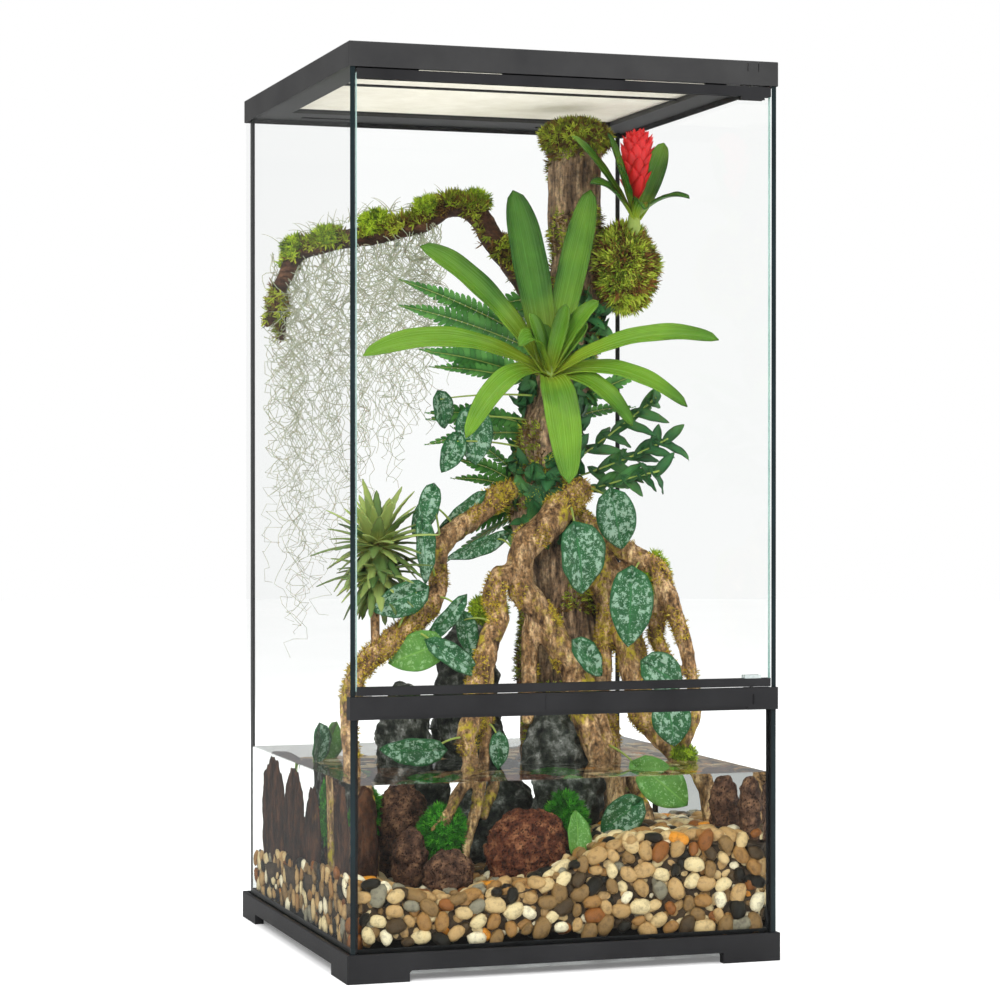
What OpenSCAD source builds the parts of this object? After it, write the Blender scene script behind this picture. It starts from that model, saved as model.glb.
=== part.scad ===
// Front-opening glass terrarium with a planted wooden landscape and a shallow water basin.
// Origin: centre of the footprint, on the ground. +X to the right, +Z up, the door faces -Y.

/* [Tank] */
// Outer width of the base frame
tank_w = 464; // [456:1:500]
// Outer depth of the base frame
tank_d = 464; // [456:1:500]
// Overall height, feet to top rim
tank_h = 930; // [915:1:960]

/* [Base frame] */
// Height of the feet under the base rail
foot_h = 11; // [8:1:16]
// Length of each foot along a side
foot_len = 64; // [40:1:90]
// Wall of the L-shaped feet
foot_wall = 10; // [6:1:14]
// Height of the base rail
base_rail_h = 18; // [15:1:24]
// Height of the rail's lip that stands outside the glass
base_lip_h = 9; // [5:1:12]
// Shelf under the glass, measured in from the rail's outside
base_shelf_w = 24; // [16:1:36]
// Fillet where a foot meets the rail
foot_fillet = 5; // [2:0.5:8]
// Rounding of the frames' upright corners
corner_r = 2; // [1:0.5:4]
// Chamfer along the frames' outer edges
edge_chamfer = 1; // [0.4:0.1:1.5]

/* [Glass] */
// Thickness of every pane
glass_t = 5; // [4:0.5:6]
// Distance of the panes' outer faces from the base frame's outside
glass_inset = 4; // [4:0.5:6]
// Silicone joint between pane edges
joint = 1; // [0.6:0.1:1.5]
// Silicone bead in the upright corners
bead_leg = 4; // [2:0.5:6]
// Silicone bead round the bottom pane
bottom_bead_leg = 8; // [5:0.5:10]
// Height of the fixed front pane's top edge
front_glass_top = 270; // [265:1:272]

/* [Top frame] */
// Distance of the top frame's outside from the base frame's outside
top_inset = 2; // [0:0.5:2.5]
// Height of the fascia
fascia_h = 25; // [22:1:30]
// Wall of the fascia
fascia_t = 3; // [2:0.5:3.5]
// Depth of the ledge's underside above the fascia's bottom edge
ledge_rise = 5; // [4:0.5:8]
// Thickness of the ledge
ledge_t = 3; // [2:0.5:4]
// Width of the front and side ledges, fascia included
ledge_w = 40; // [36:1:46]
// Width of the rear ledge, which holds the cable inlets
rear_ledge_w = 65; // [62:1:72]
// Height of the curb that locates the screen cover
curb_h = 4; // [3:0.5:4.5]
// Thickness of the curb
curb_t = 2; // [1.5:0.5:3]

/* [Cable inlets] */
// Length of each inlet slot
inlet_len = 60; // [40:1:70]
// Width of each inlet slot
inlet_w = 12; // [8:1:14]
// Distance of each slot's centre from the tank's middle
inlet_x = 140; // [130:1:150]
// Overlap of the closing slide round its slot
slide_lap = 4; // [3:0.5:5]
// Thickness of the closing slide
slide_t = 2; // [1.5:0.5:3]

/* [Screen cover] */
// Width of the screen frame's bars
screen_bar = 14; // [10:1:16]
// Thickness of the screen frame
screen_t = 5; // [4:0.5:6]
// Play between the screen frame and the curb
screen_play = 0.5; // [0.3:0.1:1]
// Width of the screen's cross rib
rib_w = 5; // [4:0.5:8]
// Place of the cross rib, measured back from the screen frame's front edge
rib_back = 162; // [140:1:190]
// Thickness of the woven screen
screen_mesh_t = 0.8; // [0.6:0.1:1.2]

/* [Screen locks] */
// Length of each lock along the side
lock_len = 30; // [20:1:40]
// Place of the locks, measured back from the middle
lock_y = -80; // [-100:1:-40]
// Length of the lock's tongue
lock_tongue = 5; // [4:0.5:6]
// Travel of the lock
lock_throw = 8; // [4:1:8]

/* [Crossbar] */
// Underside of the crossbar
bar_z = 260.5; // [258:0.5:262]
// Height of the crossbar
bar_h = 22.5; // [20:0.5:24]
// How far the crossbar stands in front of the glass
bar_proud = 3; // [2:0.5:4]
// Thickness of the crossbar's walls
bar_wall = 2; // [1.6:0.2:2.4]
// Depth of the crossbar behind the fixed front pane's inner face
bar_back = 4; // [3:0.5:6]
// Height of the recessed lip under the crossbar's face
bar_lip_h = 3; // [2:0.5:4]
// Length of the cap at the door's free end
cap_len = 25; // [22:1:30]
// Length of the cap that carries the hinge pin
hinge_cap_len = 34; // [30:1:40]
// Wall of the end caps that wraps the side panes
cap_wrap = 1.2; // [0.8:0.1:1.6]
// Width of the plain plate in the middle of the crossbar
plate_w = 50; // [30:1:70]
// Height of the plain plate
plate_h = 16; // [10:0.5:18]

/* [Door] */
// Clearance above the crossbar and beside the side panes
door_gap = 1.3; // [1:0.1:1.8]
// Height of the door's bottom rail
bottom_rail_h = 8.5; // [7.5:0.5:12]
// Height of the door's top rail
top_rail_h = 10; // [8.5:0.5:14]
// Wall of the door rails beside the glass
rail_wall = 1.7; // [1.2:0.1:1.9]
// Solid part of a rail beyond the glass edge
rail_web = 4.2; // [4:0.1:5]
// Distance of the hinge axis from the door's hinged edge
hinge_inset = 20; // [14:0.5:24]
// Radius of the hinge pins
pin_r = 2; // [1.5:0.1:2.2]
// Radial clearance of the pins in the door rails
pin_play = 0.08; // [0.05:0.01:0.1]
// Width of the lower hinge clamp
lower_clamp_w = 18; // [12:1:24]
// Width of the upper hinge clamp
upper_clamp_w = 26; // [18:1:30]
// How far the hinge clamps stand past the rails
clamp_h = 3.5; // [2:0.5:5]
// Length of the magnet that holds the door shut
magnet_len = 13; // [8:1:16]
// Thickness of the magnet and of its catch plate
magnet_t = 2; // [1:0.5:2.5]
// Drop of the stop strip behind the door's top rail
stop_drop = 14; // [12:1:18]
// Thickness of the stop strip
stop_t = 3; // [2:0.5:4]
// Length of each vent slot over the stop strip
vent_len = 88; // [60:1:100]

/* [Basin] */
// Water level above the ground
water_z = 195; // [180:1:205]
// Thickness of the water's drawn top layer
water_t = 4; // [2:0.5:8]
// Gravel height at the middle of the front pane
gravel_z = 92; // [85:1:100]
// How much the gravel rises to the right
gravel_rise = 42; // [30:1:50]
// Clearance between the filling and the glass
fill_gap = 0.3; // [0.2:0.1:0.5]

/* [Planting] */
// Thickness of the strap leaves
strap_t = 1.6; // [1:0.2:2.4]
// Thickness of the vine leaves
leaf_t = 1; // [0.8:0.1:1.6]
// Radius of the vine stems
stem_r = 1.3; // [1:0.1:1.8]
// Radius of the hanging moss strands
strand_r = 1.1; // [0.8:0.1:1.6]
// Number of hanging moss strands
strand_count = 20; // [12:1:30]

/* [Hidden] */
$fn = 48;
eps = 0.01;

// Heights
glass_z = foot_h + base_rail_h - base_lip_h;
base_top = foot_h + base_rail_h;
fascia_z = tank_h - fascia_h;
ledge_z = fascia_z + ledge_rise;
ledge_top = ledge_z + ledge_t;
bar_top = bar_z + bar_h;
floor_z = glass_z + glass_t;

// Plan sizes, each a half width or half depth
out_x = tank_w / 2 - glass_inset;
out_y = tank_d / 2 - glass_inset;
in_x = out_x - glass_t;
in_y = out_y - glass_t;
top_w = tank_w - 2 * top_inset;
top_d = tank_d - 2 * top_inset;
open_x = top_w / 2 - ledge_w;
open_front = -top_d / 2 + ledge_w;
open_back = top_d / 2 - rear_ledge_w;

// Door
door_x = in_x - 1.5;
door_mid = -out_y + glass_t / 2;
hinge_x = door_x - hinge_inset;
rail_d = glass_t + 2 * rail_wall;
bottom_rail_z = bar_top + door_gap;
top_rail_z = fascia_z - 1.5 - top_rail_h;
door_glass_z = bottom_rail_z + rail_web;
door_glass_top = top_rail_z + top_rail_h - rail_web;
pin_gap = 0.3;

// The planting is laid out for this tank and water level, and its points follow the tank's inside:
// what stands in the water follows the water level, and the rest the height above it
laid_out = [446, 446, 930];
laid_water = 195;
spread = [2 * in_x / laid_out.x, 2 * in_y / laid_out.y];
spread_low = water_z / laid_water;
spread_high = (tank_h - water_z) / (laid_out.z - laid_water);

// The planting's own thickness grows when the tank grows in two directions or more
grow = spread.x + spread.y + spread_high - max(spread.x, spread.y, spread_high)
    - min(spread.x, spread.y, spread_high);

frame_black = [0.12, 0.12, 0.125];
fascia_grey = [0.2, 0.2, 0.2];
clear_glass = [0.75, 0.9, 0.88, 0.3];
steel = [0.75, 0.75, 0.76];
bark_brown = [0.45, 0.33, 0.22];
pale_wood = [0.68, 0.52, 0.34];
leaf_green = [0.35, 0.6, 0.15];
dark_green = [0.12, 0.36, 0.16];

// ---------- shared shapes ----------

function unit(v) = v / norm(v);
function rise(z) = z < laid_water ? z * spread_low : water_z + (z - laid_water) * spread_high;
function seat(p) = concat([p.x * spread.x, p.y * spread.y, rise(p.z)], len(p) > 3 ? [p[3] * grow] : []);
function seats(route) = [for (p = route) seat(p)];
function curve(a, b, c, d, t) =
    0.5 * (2 * b + (c - a) * t + (2 * a - 5 * b + 4 * c - d) * t * t
        + (3 * b - a - 3 * c + d) * t * t * t);
function smooth(p, k) = [
    for (i = [0:len(p) - 2], j = [0:k - 1])
        curve(p[max(i - 1, 0)], p[i], p[i + 1], p[min(i + 2, len(p) - 1)], j / k),
    p[len(p) - 1]
];
function place(p) = [p[0], p[1], p[2]];
function heading(p, i) = unit(place(p[min(i + 1, len(p) - 1)]) - place(p[max(i - 1, 0)]));

// Joins rings of n points into one closed skin
module skin(rings) {
    n = len(rings[0]);
    last = len(rings) - 1;
    polyhedron([for (r = rings) each r], concat(
        [for (j = [1:n - 2]) [0, j + 1, j]],
        [for (i = [0:last - 1], j = [0:n - 1])
            each let (a = i * n + j, b = i * n + (j + 1) % n) [[a, b, b + n], [a, b + n, a + n]]],
        [for (j = [1:n - 2]) [last * n, last * n + j, last * n + j + 1]]
    ));
}

// A rough round limb along points [x, y, z, radius]
module limb(route, sides = 8, k = 2, rough = 0.08) {
    p = smooth(seats(route), k);
    skin([for (i = [0:len(p) - 1])
        let (t = heading(p, i), s = unit(cross(t, [0.2, 1, 0.15])), u = cross(s, t))
        [for (j = [0:sides - 1])
            let (r = p[i][3] * (1 + rough * sin(i * 137 + j * 223)))
            place(p[i]) + r * (cos(360 * j / sides) * s + sin(360 * j / sides) * u)]]);
}

// A rough round mass: centre, half sizes, seed for its bumps
module lump(centre, half_sizes, seed = 0, rough = 0.08, rings = 5, sides = 9) {
    c = seat(centre);
    half = half_sizes * grow;
    skin([for (i = [0:rings])
        let (lat = -70 + 140 * i / rings)
        [for (j = [0:sides - 1])
            let (bump = rough * sin(seed * 71 + i * 131 + j * 97),
                 out = (1 + bump) * cos(lat),
                 a = 360 * (j + i % 2 / 2) / sides)
            c + [half.x * out * cos(a), -half.y * out * sin(a), half.z * (1 + bump / 3) * sin(lat) / sin(70)]]]);
}

// A strap leaf from a to b, arched by lift, half width w in its middle, cupped
module strap(a, b, lift, w, cup = 0.25, rings = 8) {
    p = seat(a);
    q = seat(b);
    s = unit(cross(q - p, [0.02, 0.01, 1]));
    mid = (p + q) / 2 + [0, 0, lift * grow];
    route = [for (i = [0:rings]) let (t = i / rings)
        p * (1 - t) * (1 - t) + 2 * mid * t * (1 - t) + q * t * t];
    skin([for (i = [0:rings])
        let (t = i / rings, h = heading(route, i), n = unit(cross(s, h)),
             half = w * grow * (0.16 + 0.84 * pow(sin(180 * min(1, 0.18 + 0.8 * t)), 0.7)) * (t > 0.97 ? 0.2 : 1),
             fold = cup * half)
        [route[i] + half * s + fold * n, route[i], route[i] - half * s + fold * n,
         route[i] - half * s + (fold - strap_t) * n, route[i] - strap_t * n,
         route[i] + half * s + (fold - strap_t) * n]]);
}

// A flat heart-shaped leaf, its base at the origin and its tip towards +Y
module heart(length, width) {
    linear_extrude(leaf_t) scale(grow) polygon([for (a = [0:30:330])
        [width * 0.52 * sin(a) * (1 + 0.12 * cos(a)),
         length * (0.5 - 0.5 * cos(a)) - (abs(a - 180) > 130 ? length * 0.1 * sin(2 * a) * sin(a) : 0)]]);
}

module plate(w, d, r) {
    square([w - 2 * r, d], center = true);
    square([w, d - 2 * r], center = true);
    for (x = [-1, 1], y = [-1, 1])
        translate([x * (w / 2 - r), y * (d / 2 - r)]) circle(r);
}

// Cuts a 45 degree chamfer round the outer edge of a w by d plate at height z
module edge_cut(w, d, z) {
    side = edge_chamfer * sqrt(2);
    for (y = [-1, 1]) translate([0, y * d / 2, z]) rotate([45, 0, 0])
        cube([w + 2, side, side], center = true);
    for (x = [-1, 1]) translate([x * w / 2, 0, z]) rotate([0, 45, 0])
        cube([side, d + 2, side], center = true);
}

// ---------- base ----------

module foot_legs() {
    intersection() {
        linear_extrude(foot_h + eps) plate(tank_w, tank_d, corner_r);
        for (x = [0, 1], y = [0, 1]) mirror([x, 0, 0]) mirror([0, y, 0])
            translate([tank_w / 2 - foot_len, tank_d / 2 - foot_len, 0]) difference() {
                cube([foot_len, foot_len, foot_h + 2]);
                translate([-eps, -eps, -eps])
                    cube([foot_len - foot_wall + eps, foot_len - foot_wall + eps, foot_h + 3]);
            }
    }
}

module foot_fillets() {
    for (x = [0, 1], y = [0, 1], turn = [0, 1])
        mirror([x, 0, 0]) mirror([0, y, 0]) mirror(turn ? [1, -1, 0] : [0, 0, 0])
            translate([(turn ? tank_d : tank_w) / 2 - foot_len - foot_fillet,
                       (turn ? tank_w : tank_d) / 2 - foot_wall, foot_h - foot_fillet])
                difference() {
                    cube([foot_fillet + eps, foot_wall - corner_r, foot_fillet + eps]);
                    translate([0, -eps, 0]) rotate([-90, 0, 0])
                        cylinder(r = foot_fillet, h = foot_wall);
                }
}

module base_frame() {
    color(frame_black) difference() {
        union() {
            foot_legs();
            foot_fillets();
            translate([0, 0, foot_h]) linear_extrude(base_rail_h) plate(tank_w, tank_d, corner_r);
        }
        translate([0, 0, tank_h / 2 + glass_z]) cube([2 * out_x, 2 * out_y, tank_h], center = true);
        cube([tank_w - 2 * base_shelf_w, tank_d - 2 * base_shelf_w, tank_h], center = true);
        translate([0, 0, foot_h - eps])
            linear_extrude(glass_z - foot_h - 4)
                square([tank_w - 2 * foot_wall, tank_d - 2 * foot_wall], center = true);
        edge_cut(tank_w, tank_d, base_top);
    }
}

// ---------- glass ----------

module pane(x0, x1, y0, y1, z0, z1) {
    color(clear_glass) translate([x0, y0, z0]) cube([x1 - x0, y1 - y0, z1 - z0]);
}

module bottom_glass() { pane(-in_x + joint, in_x - joint, -in_y + joint, in_y - joint, glass_z, floor_z); }
module left_glass() { pane(-out_x, -in_x, -out_y, out_y, glass_z, ledge_z); }
module right_glass() { pane(in_x, out_x, -out_y, out_y, glass_z, ledge_z); }
module back_glass() { pane(-in_x + joint, in_x - joint, in_y, out_y, glass_z, ledge_z); }
module front_glass() { pane(-in_x + joint, in_x - joint, -out_y, -in_y, glass_z, front_glass_top); }

module upright_bead(z1) {
    translate([0, 0, floor_z]) linear_extrude(z1 - floor_z)
        polygon([[0, 0], [-bead_leg, 0], [0, bead_leg]]);
}

module silicone_seals() {
    color([0.03, 0.03, 0.03]) union() {
        translate([0, 0, glass_z]) linear_extrude(glass_t) difference() {
            square([2 * in_x, 2 * in_y], center = true);
            square([2 * (in_x - joint), 2 * (in_y - joint)], center = true);
        }
        for (x = [0, 1]) mirror([x, 0, 0]) {
            translate([in_x - joint, -out_y, glass_z]) cube([joint, glass_t + eps, bar_z - glass_z]);
            translate([in_x - joint, in_y - eps, glass_z]) cube([joint, glass_t + eps, ledge_z - glass_z]);
            translate([in_x, -in_y, 0]) upright_bead(bar_z);
            translate([in_x, in_y, 0]) mirror([0, 1, 0]) upright_bead(ledge_z);
            translate([in_x, in_y, floor_z]) rotate([90, 0, 0]) linear_extrude(2 * in_y)
                polygon([[0, 0], [0, bottom_bead_leg], [-bottom_bead_leg, 0]]);
        }
        for (y = [0, 1]) mirror([0, y, 0])
            translate([-in_x, in_y, floor_z]) rotate([90, 0, 90]) linear_extrude(2 * in_x)
                polygon([[0, 0], [0, bottom_bead_leg], [-bottom_bead_leg, 0]]);
    }
}

// ---------- top frame and what it carries ----------

inlet_y = top_d / 2 - rear_ledge_w / 2 + 3;
boss_w = 18;
rail_play = 0.3;

module top_frame() {
    clip_w = 12;
    clip_h = 8;
    color(fascia_grey) difference() {
        translate([0, 0, fascia_z]) linear_extrude(fascia_h) plate(top_w, top_d, corner_r);
        translate([0, 0, fascia_z - 1]) linear_extrude(ledge_rise + 1) difference() {
            square([2 * out_x, 2 * out_y], center = true);
            translate([hinge_x, -top_d / 2 + fascia_t + 5]) square([boss_w, 12], center = true);
        }
        translate([0, 0, ledge_top]) linear_extrude(fascia_h) difference() {
            square([top_w - 2 * fascia_t, top_d - 2 * fascia_t], center = true);
            difference() {
                curb();
                for (x = [-1, 1]) translate([x * (open_x + screen_bar + screen_play + curb_t / 2), lock_y])
                    square([curb_t + 2, lock_len * 0.6 + 1], center = true);
            }
            slide_guides();
        }
        translate([-open_x, open_front, fascia_z - 1])
            cube([2 * open_x, open_back - open_front, fascia_h + 2]);
        translate([0, 0, ledge_top + curb_h]) linear_extrude(fascia_h)
            square([top_w - 2 * fascia_t, top_d - 2 * fascia_t], center = true);
        for (x = [-1, 1]) translate([x * inlet_x - inlet_len / 2, inlet_y - inlet_w / 2, fascia_z])
            cube([inlet_len, inlet_w, fascia_h]);
        translate([hinge_x, door_mid, fascia_z - 1]) cylinder(r = pin_r, h = ledge_rise + 1);
        edge_cut(top_w, top_d, tank_h);
        for (x = [-1, 1]) translate([hinge_x + x * clip_w / 2 - 0.5, -top_d / 2 - eps, fascia_z + 14])
            cube([1, 1, clip_h]);
    }
}

module curb() {
    grow = screen_bar + screen_play;
    translate([-open_x - grow - curb_t, open_front - grow - curb_t])
        difference() {
            square([2 * (open_x + grow + curb_t), open_back - open_front + 2 * (grow + curb_t)]);
            translate([curb_t, curb_t]) square([2 * (open_x + grow), open_back - open_front + 2 * grow]);
        }
}

// Two low ribs that guide each inlet slide
module slide_guides() {
    half = inlet_w / 2 + slide_lap + rail_play;
    for (x = [-1, 1], y = [-1, 1])
        translate([x * (inlet_x - inlet_len / 2), inlet_y + y * (half + 1)])
            square([2 * inlet_len + 3 * slide_lap, 2], center = true);
}

module inlet_slide() {
    w = inlet_len + 2 * slide_lap;
    color(frame_black) translate([inlet_x, inlet_y, ledge_top]) {
        translate([-w / 2, -inlet_w / 2 - slide_lap, 0]) cube([w, inlet_w + 2 * slide_lap, slide_t]);
        translate([w / 2 - 8, -4, slide_t - eps]) cube([3, 8, 4]);
    }
}

module inlet_slide_left() { mirror([1, 0, 0]) inlet_slide(); }
module inlet_slide_right() { inlet_slide(); }

screen_out_x = open_x + screen_bar;
screen_front = open_front - screen_bar;
screen_back = open_back + screen_bar;
rib_y = screen_front + rib_back;

module mesh_sheet(grow = 0) {
    hold = screen_bar / 2;
    translate([-open_x - hold - grow, open_front - hold - grow, ledge_top + screen_t / 2 - screen_mesh_t / 2])
        cube([2 * (open_x + hold + grow), open_back - open_front + 2 * (hold + grow), screen_mesh_t]);
}

module screen_frame() {
    color(frame_black) difference() {
        translate([-screen_out_x, screen_front, ledge_top])
            cube([2 * screen_out_x, screen_back - screen_front, screen_t]);
        for (span = [[open_front, rib_y - rib_w / 2], [rib_y + rib_w / 2, open_back]])
            translate([-open_x, span[0], ledge_top - 1])
                cube([2 * open_x, span[1] - span[0], screen_t + 2]);
        mesh_sheet();
    }
}

module screen_mesh() { color(steel) mesh_sheet(); }

lock_tip = screen_out_x + 0.3;
lock_block = top_w / 2 - fascia_t - lock_tip - lock_tongue - lock_throw - 0.5;

// A sliding lock: its tongue grips the side of the screen frame through a notch in the curb
module screen_lock() {
    block_h = screen_t + 2;
    color(frame_black) translate([lock_tip, lock_y - lock_len / 2, ledge_top]) {
        translate([lock_tongue, 0, 0]) cube([lock_block, lock_len, block_h]);
        translate([0, lock_len * 0.2, 0]) cube([lock_tongue + eps, lock_len * 0.6, screen_t]);
        for (i = [1:4]) translate([lock_tongue + 0.5, lock_len * i / 5 - 0.5, block_h - eps])
            cube([lock_block - 1, 1, 0.6]);
    }
}

module screen_lock_left() { mirror([1, 0, 0]) screen_lock(); }
module screen_lock_right() { screen_lock(); }

// The strip behind the door, with two long vent slots; it ends clear of the hinged corner
module door_stop() {
    y0 = -in_y + 7;
    slot_h = 6;
    color(frame_black) difference() {
        translate([-in_x + 1, y0, ledge_z - stop_drop])
            cube([in_x - 1 + hinge_x - hinge_inset - 4, stop_t, stop_drop]);
        for (x = [-1, 1]) translate([x * 110 - vent_len / 2, y0 - 1, ledge_z - slot_h])
            cube([vent_len, stop_t + 2, slot_h - 1]);
    }
}

// ---------- crossbar ----------

bar_front = -out_y - bar_proud;
bar_rear = -in_y + bar_back;
cap_end = out_x + cap_wrap;

module crossbar() {
    face_in = -out_y - 0.3;
    color(frame_black) union() {
        translate([cap_len - cap_end, 0, 0]) rotate([90, 0, 90])
            linear_extrude(2 * cap_end - cap_len - hinge_cap_len) polygon([
            [bar_front, bar_z + bar_lip_h], [bar_front, bar_top], [bar_rear, bar_top],
            [bar_rear, bar_z], [bar_rear - bar_wall, bar_z], [bar_rear - bar_wall, front_glass_top],
            [face_in, front_glass_top], [face_in, bar_z], [face_in - 1.2, bar_z],
            [face_in - 1.2, bar_z + bar_lip_h]]);
        translate([-plate_w / 2, bar_front - 0.6, bar_z + (bar_h + bar_lip_h - plate_h) / 2])
            cube([plate_w, 1, plate_h]);
    }
}

module crossbar_cap(length) {
    color(frame_black) difference() {
        translate([cap_end - length, bar_front, bar_z]) cube([length, bar_rear - bar_front, bar_h + 0.3]);
        translate([in_x, -out_y, bar_z - 1]) cube([glass_t, tank_d, bar_h + 3]);
        translate([0, -out_y, bar_z - 1]) cube([in_x + eps, glass_t, front_glass_top - bar_z + 1]);
    }
}

module crossbar_cap_left() {
    difference() {
        mirror([1, 0, 0]) crossbar_cap(cap_len);
        catch_shape();
    }
}

module crossbar_cap_right() {
    difference() {
        crossbar_cap(hinge_cap_len);
        translate([hinge_x, door_mid, front_glass_top + 2]) cylinder(r = pin_r, h = bar_h);
        translate([hinge_x - 1, bar_front - eps, bar_z + 6]) cube([2, 1, 10]);
    }
}

module catch_shape() {
    translate([-door_x + 2.5, door_mid - 1.5, bar_top + 0.3 - magnet_t]) cube([magnet_len, 3, magnet_t + eps]);
}

module catch_plate() {
    color(steel) intersection() {
        catch_shape();
        translate([-tank_w, -tank_d, 0]) cube([2 * tank_w, 2 * tank_d, bar_top + 0.3]);
    }
}

// ---------- door ----------

module door_glass() {
    pane(-door_x, door_x, -out_y, -in_y, door_glass_z, door_glass_top);
}

module door_rail(z0, height, glass_from, glass_to, bore_z) {
    color(frame_black) difference() {
        translate([-door_x, door_mid - rail_d / 2, z0]) cube([2 * door_x, rail_d, height]);
        translate([-door_x - 1, -out_y, glass_from]) cube([2 * door_x + 2, glass_t, glass_to - glass_from]);
        translate([hinge_x, door_mid, bore_z]) cylinder(r = pin_r + pin_play, h = rail_web + 2);
    }
}

module magnet_shape() {
    translate([-door_x + 2.5, door_mid - 1.5, bottom_rail_z - eps]) cube([magnet_len, 3, magnet_t + eps]);
}

module door_bottom_rail() {
    difference() {
        door_rail(bottom_rail_z, bottom_rail_h, door_glass_z, bottom_rail_z + bottom_rail_h + 1, bottom_rail_z - 1);
        magnet_shape();
    }
}

module door_top_rail() {
    door_rail(top_rail_z, top_rail_h, top_rail_z - 1, door_glass_top, door_glass_top - 1);
}

module door_magnet() {
    color(steel) intersection() {
        magnet_shape();
        translate([-tank_w, -tank_d, bottom_rail_z]) cube([2 * tank_w, 2 * tank_d, tank_h]);
    }
}

module lower_hinge_pin() {
    color(steel) translate([hinge_x, door_mid, front_glass_top + 2])
        cylinder(r = pin_r, h = door_glass_z - pin_gap - front_glass_top - 2);
}

module upper_hinge_pin() {
    color(steel) translate([hinge_x, door_mid, door_glass_top + pin_gap])
        cylinder(r = pin_r, h = ledge_z - door_glass_top - pin_gap);
}

module hinge_clamp(w, z0) {
    for (y = [-out_y - rail_wall, -in_y])
        translate([hinge_x - w / 2, y, z0]) cube([w, rail_wall, clamp_h]);
}

module lower_hinge_clamp() {
    color([0.7, 0.72, 0.72]) hinge_clamp(lower_clamp_w, bottom_rail_z + bottom_rail_h);
}

module upper_hinge_clamp() {
    color(frame_black) hinge_clamp(upper_clamp_w, top_rail_z - clamp_h);
}

// ---------- basin filling ----------

function ramp(t) = let (u = min(1, max(0, t))) u * u * (3 - 2 * u);
function gravel_at(x_at, y_at) = let (x = x_at / spread.x, y = y_at / spread.y)
    gravel_z + gravel_rise * ramp((x + 60) / 150) * (1 - 0.25 * ramp((y + 100) / 300))
    + grow * (10 * ramp((-x - 150) / 70) * ramp((-y + 40) / 200) - 10 * exp(-pow((x + 125) / 55, 2))
        - 14 * ramp((y - 60) / 160) + 2.5 * sin(x * 9) * cos(y * 11));

// The space between the panes, clear of the silicone beads
module basin_space(top) {
    x = in_x - fill_gap;
    y = in_y - fill_gap;
    b = bead_leg + fill_gap;
    lift = bottom_bead_leg + fill_gap;
    hull() {
        translate([0, 0, floor_z]) linear_extrude(eps)
            square([2 * (x - lift), 2 * (y - lift)], center = true);
        translate([0, 0, floor_z + lift]) linear_extrude(top - floor_z - lift)
            polygon([[-x + b, -y], [x - b, -y], [x, -y + b], [x, y - b],
                     [x - b, y], [-x + b, y], [-x, y - b], [-x, -y + b]]);
    }
}

module gravel_shape() {
    n = 14;
    intersection() {
        basin_space(water_z);
        skin([for (j = [0:n]) let (y = (2 * j / n - 1) * in_y)
            [[-in_x, y, 0], [in_x, y, 0], for (i = [n:-1:0]) let (x = (2 * i / n - 1) * in_x) [x, y, gravel_at(x, y)]]]);
    }
}

module gravel_bed() {
    color([0.72, 0.6, 0.42]) resize([0, 0, 0]) difference() {
        gravel_shape();
        sunk_pieces();
    }
}

// The water is drawn as its top layer, so that the basin below it stays open
module water_surface() {
    color([0.7, 0.85, 0.85, 0.5]) resize([0, 0, 0]) difference() {
        intersection() {
            basin_space(water_z);
            translate([0, 0, water_z - water_t / 2]) cube([tank_w, tank_d, water_t], center = true);
        }
        sunk_pieces();
        water_moss_shape();
        vine_leaf_shapes();
        vine_stem_shapes();
    }
}

// What stands in the gravel and passes through the water
module sunk_pieces() {
    trunk_shape();
    left_root_shape();
    centre_root_shape();
    right_root_shapes();
    bark_shape();
    lava_shape();
    brown_rock_shapes();
    grey_rock_shapes();
}

// ---------- wood ----------

module trunk_shape() {
    limb([[98, 50, 60, 58], [97, 50, 120, 56], [95, 48, 190, 52], [92, 46, 270, 48], [86, 44, 340, 44],
          [76, 42, 400, 38], [64, 40, 455, 33], [62, 42, 510, 31], [76, 44, 560, 30], [92, 47, 610, 29],
          [105, 51, 675, 28], [110, 55, 745, 27], [109, 58, 810, 28], [110, 60, 872, 29]],
         sides = 12, k = 1, rough = 0.09);
}

module trunk() { color(bark_brown) trunk_shape(); }

module arch_shape() {
    limb([[98, 60, 650, 13], [74, 64, 690, 14], [50, 68, 722, 13], [20, 75, 764, 13], [-4, 84, 800, 13],
          [-34, 92, 802, 12], [-58, 100, 784, 12], [-110, 120, 772, 11], [-166, 145, 760, 10],
          [-189, 155, 748, 9], [-203, 168, 713, 8], [-208, 175, 690, 6], [-215, 183, 670, 3]]);
    limb([[-204, 169, 708, 6], [-201, 172, 684, 6], [-199, 174, 655, 4]], k = 1);
}

module arch_branch() {
    color(bark_brown) resize([0, 0, 0]) difference() {
        arch_shape();
        trunk_shape();
    }
}

module left_root_shape() {
    limb([[28, 36, 488, 12], [-2, 18, 474, 13], [-47, 2, 444, 12], [-70, -8, 426, 12], [-76, -22, 398, 11],
          [-80, -32, 374, 11], [-100, -43, 354, 12], [-122, -52, 338, 12], [-150, -60, 319, 12],
          [-178, -70, 296, 11], [-188, -78, 262, 10], [-190, -84, 220, 9], [-184, -88, 160, 10], [-180, -90, 80, 11]]);
}

module left_root() {
    color(pale_wood) resize([0, 0, 0]) difference() {
        left_root_shape();
        trunk_shape();
    }
}

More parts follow.
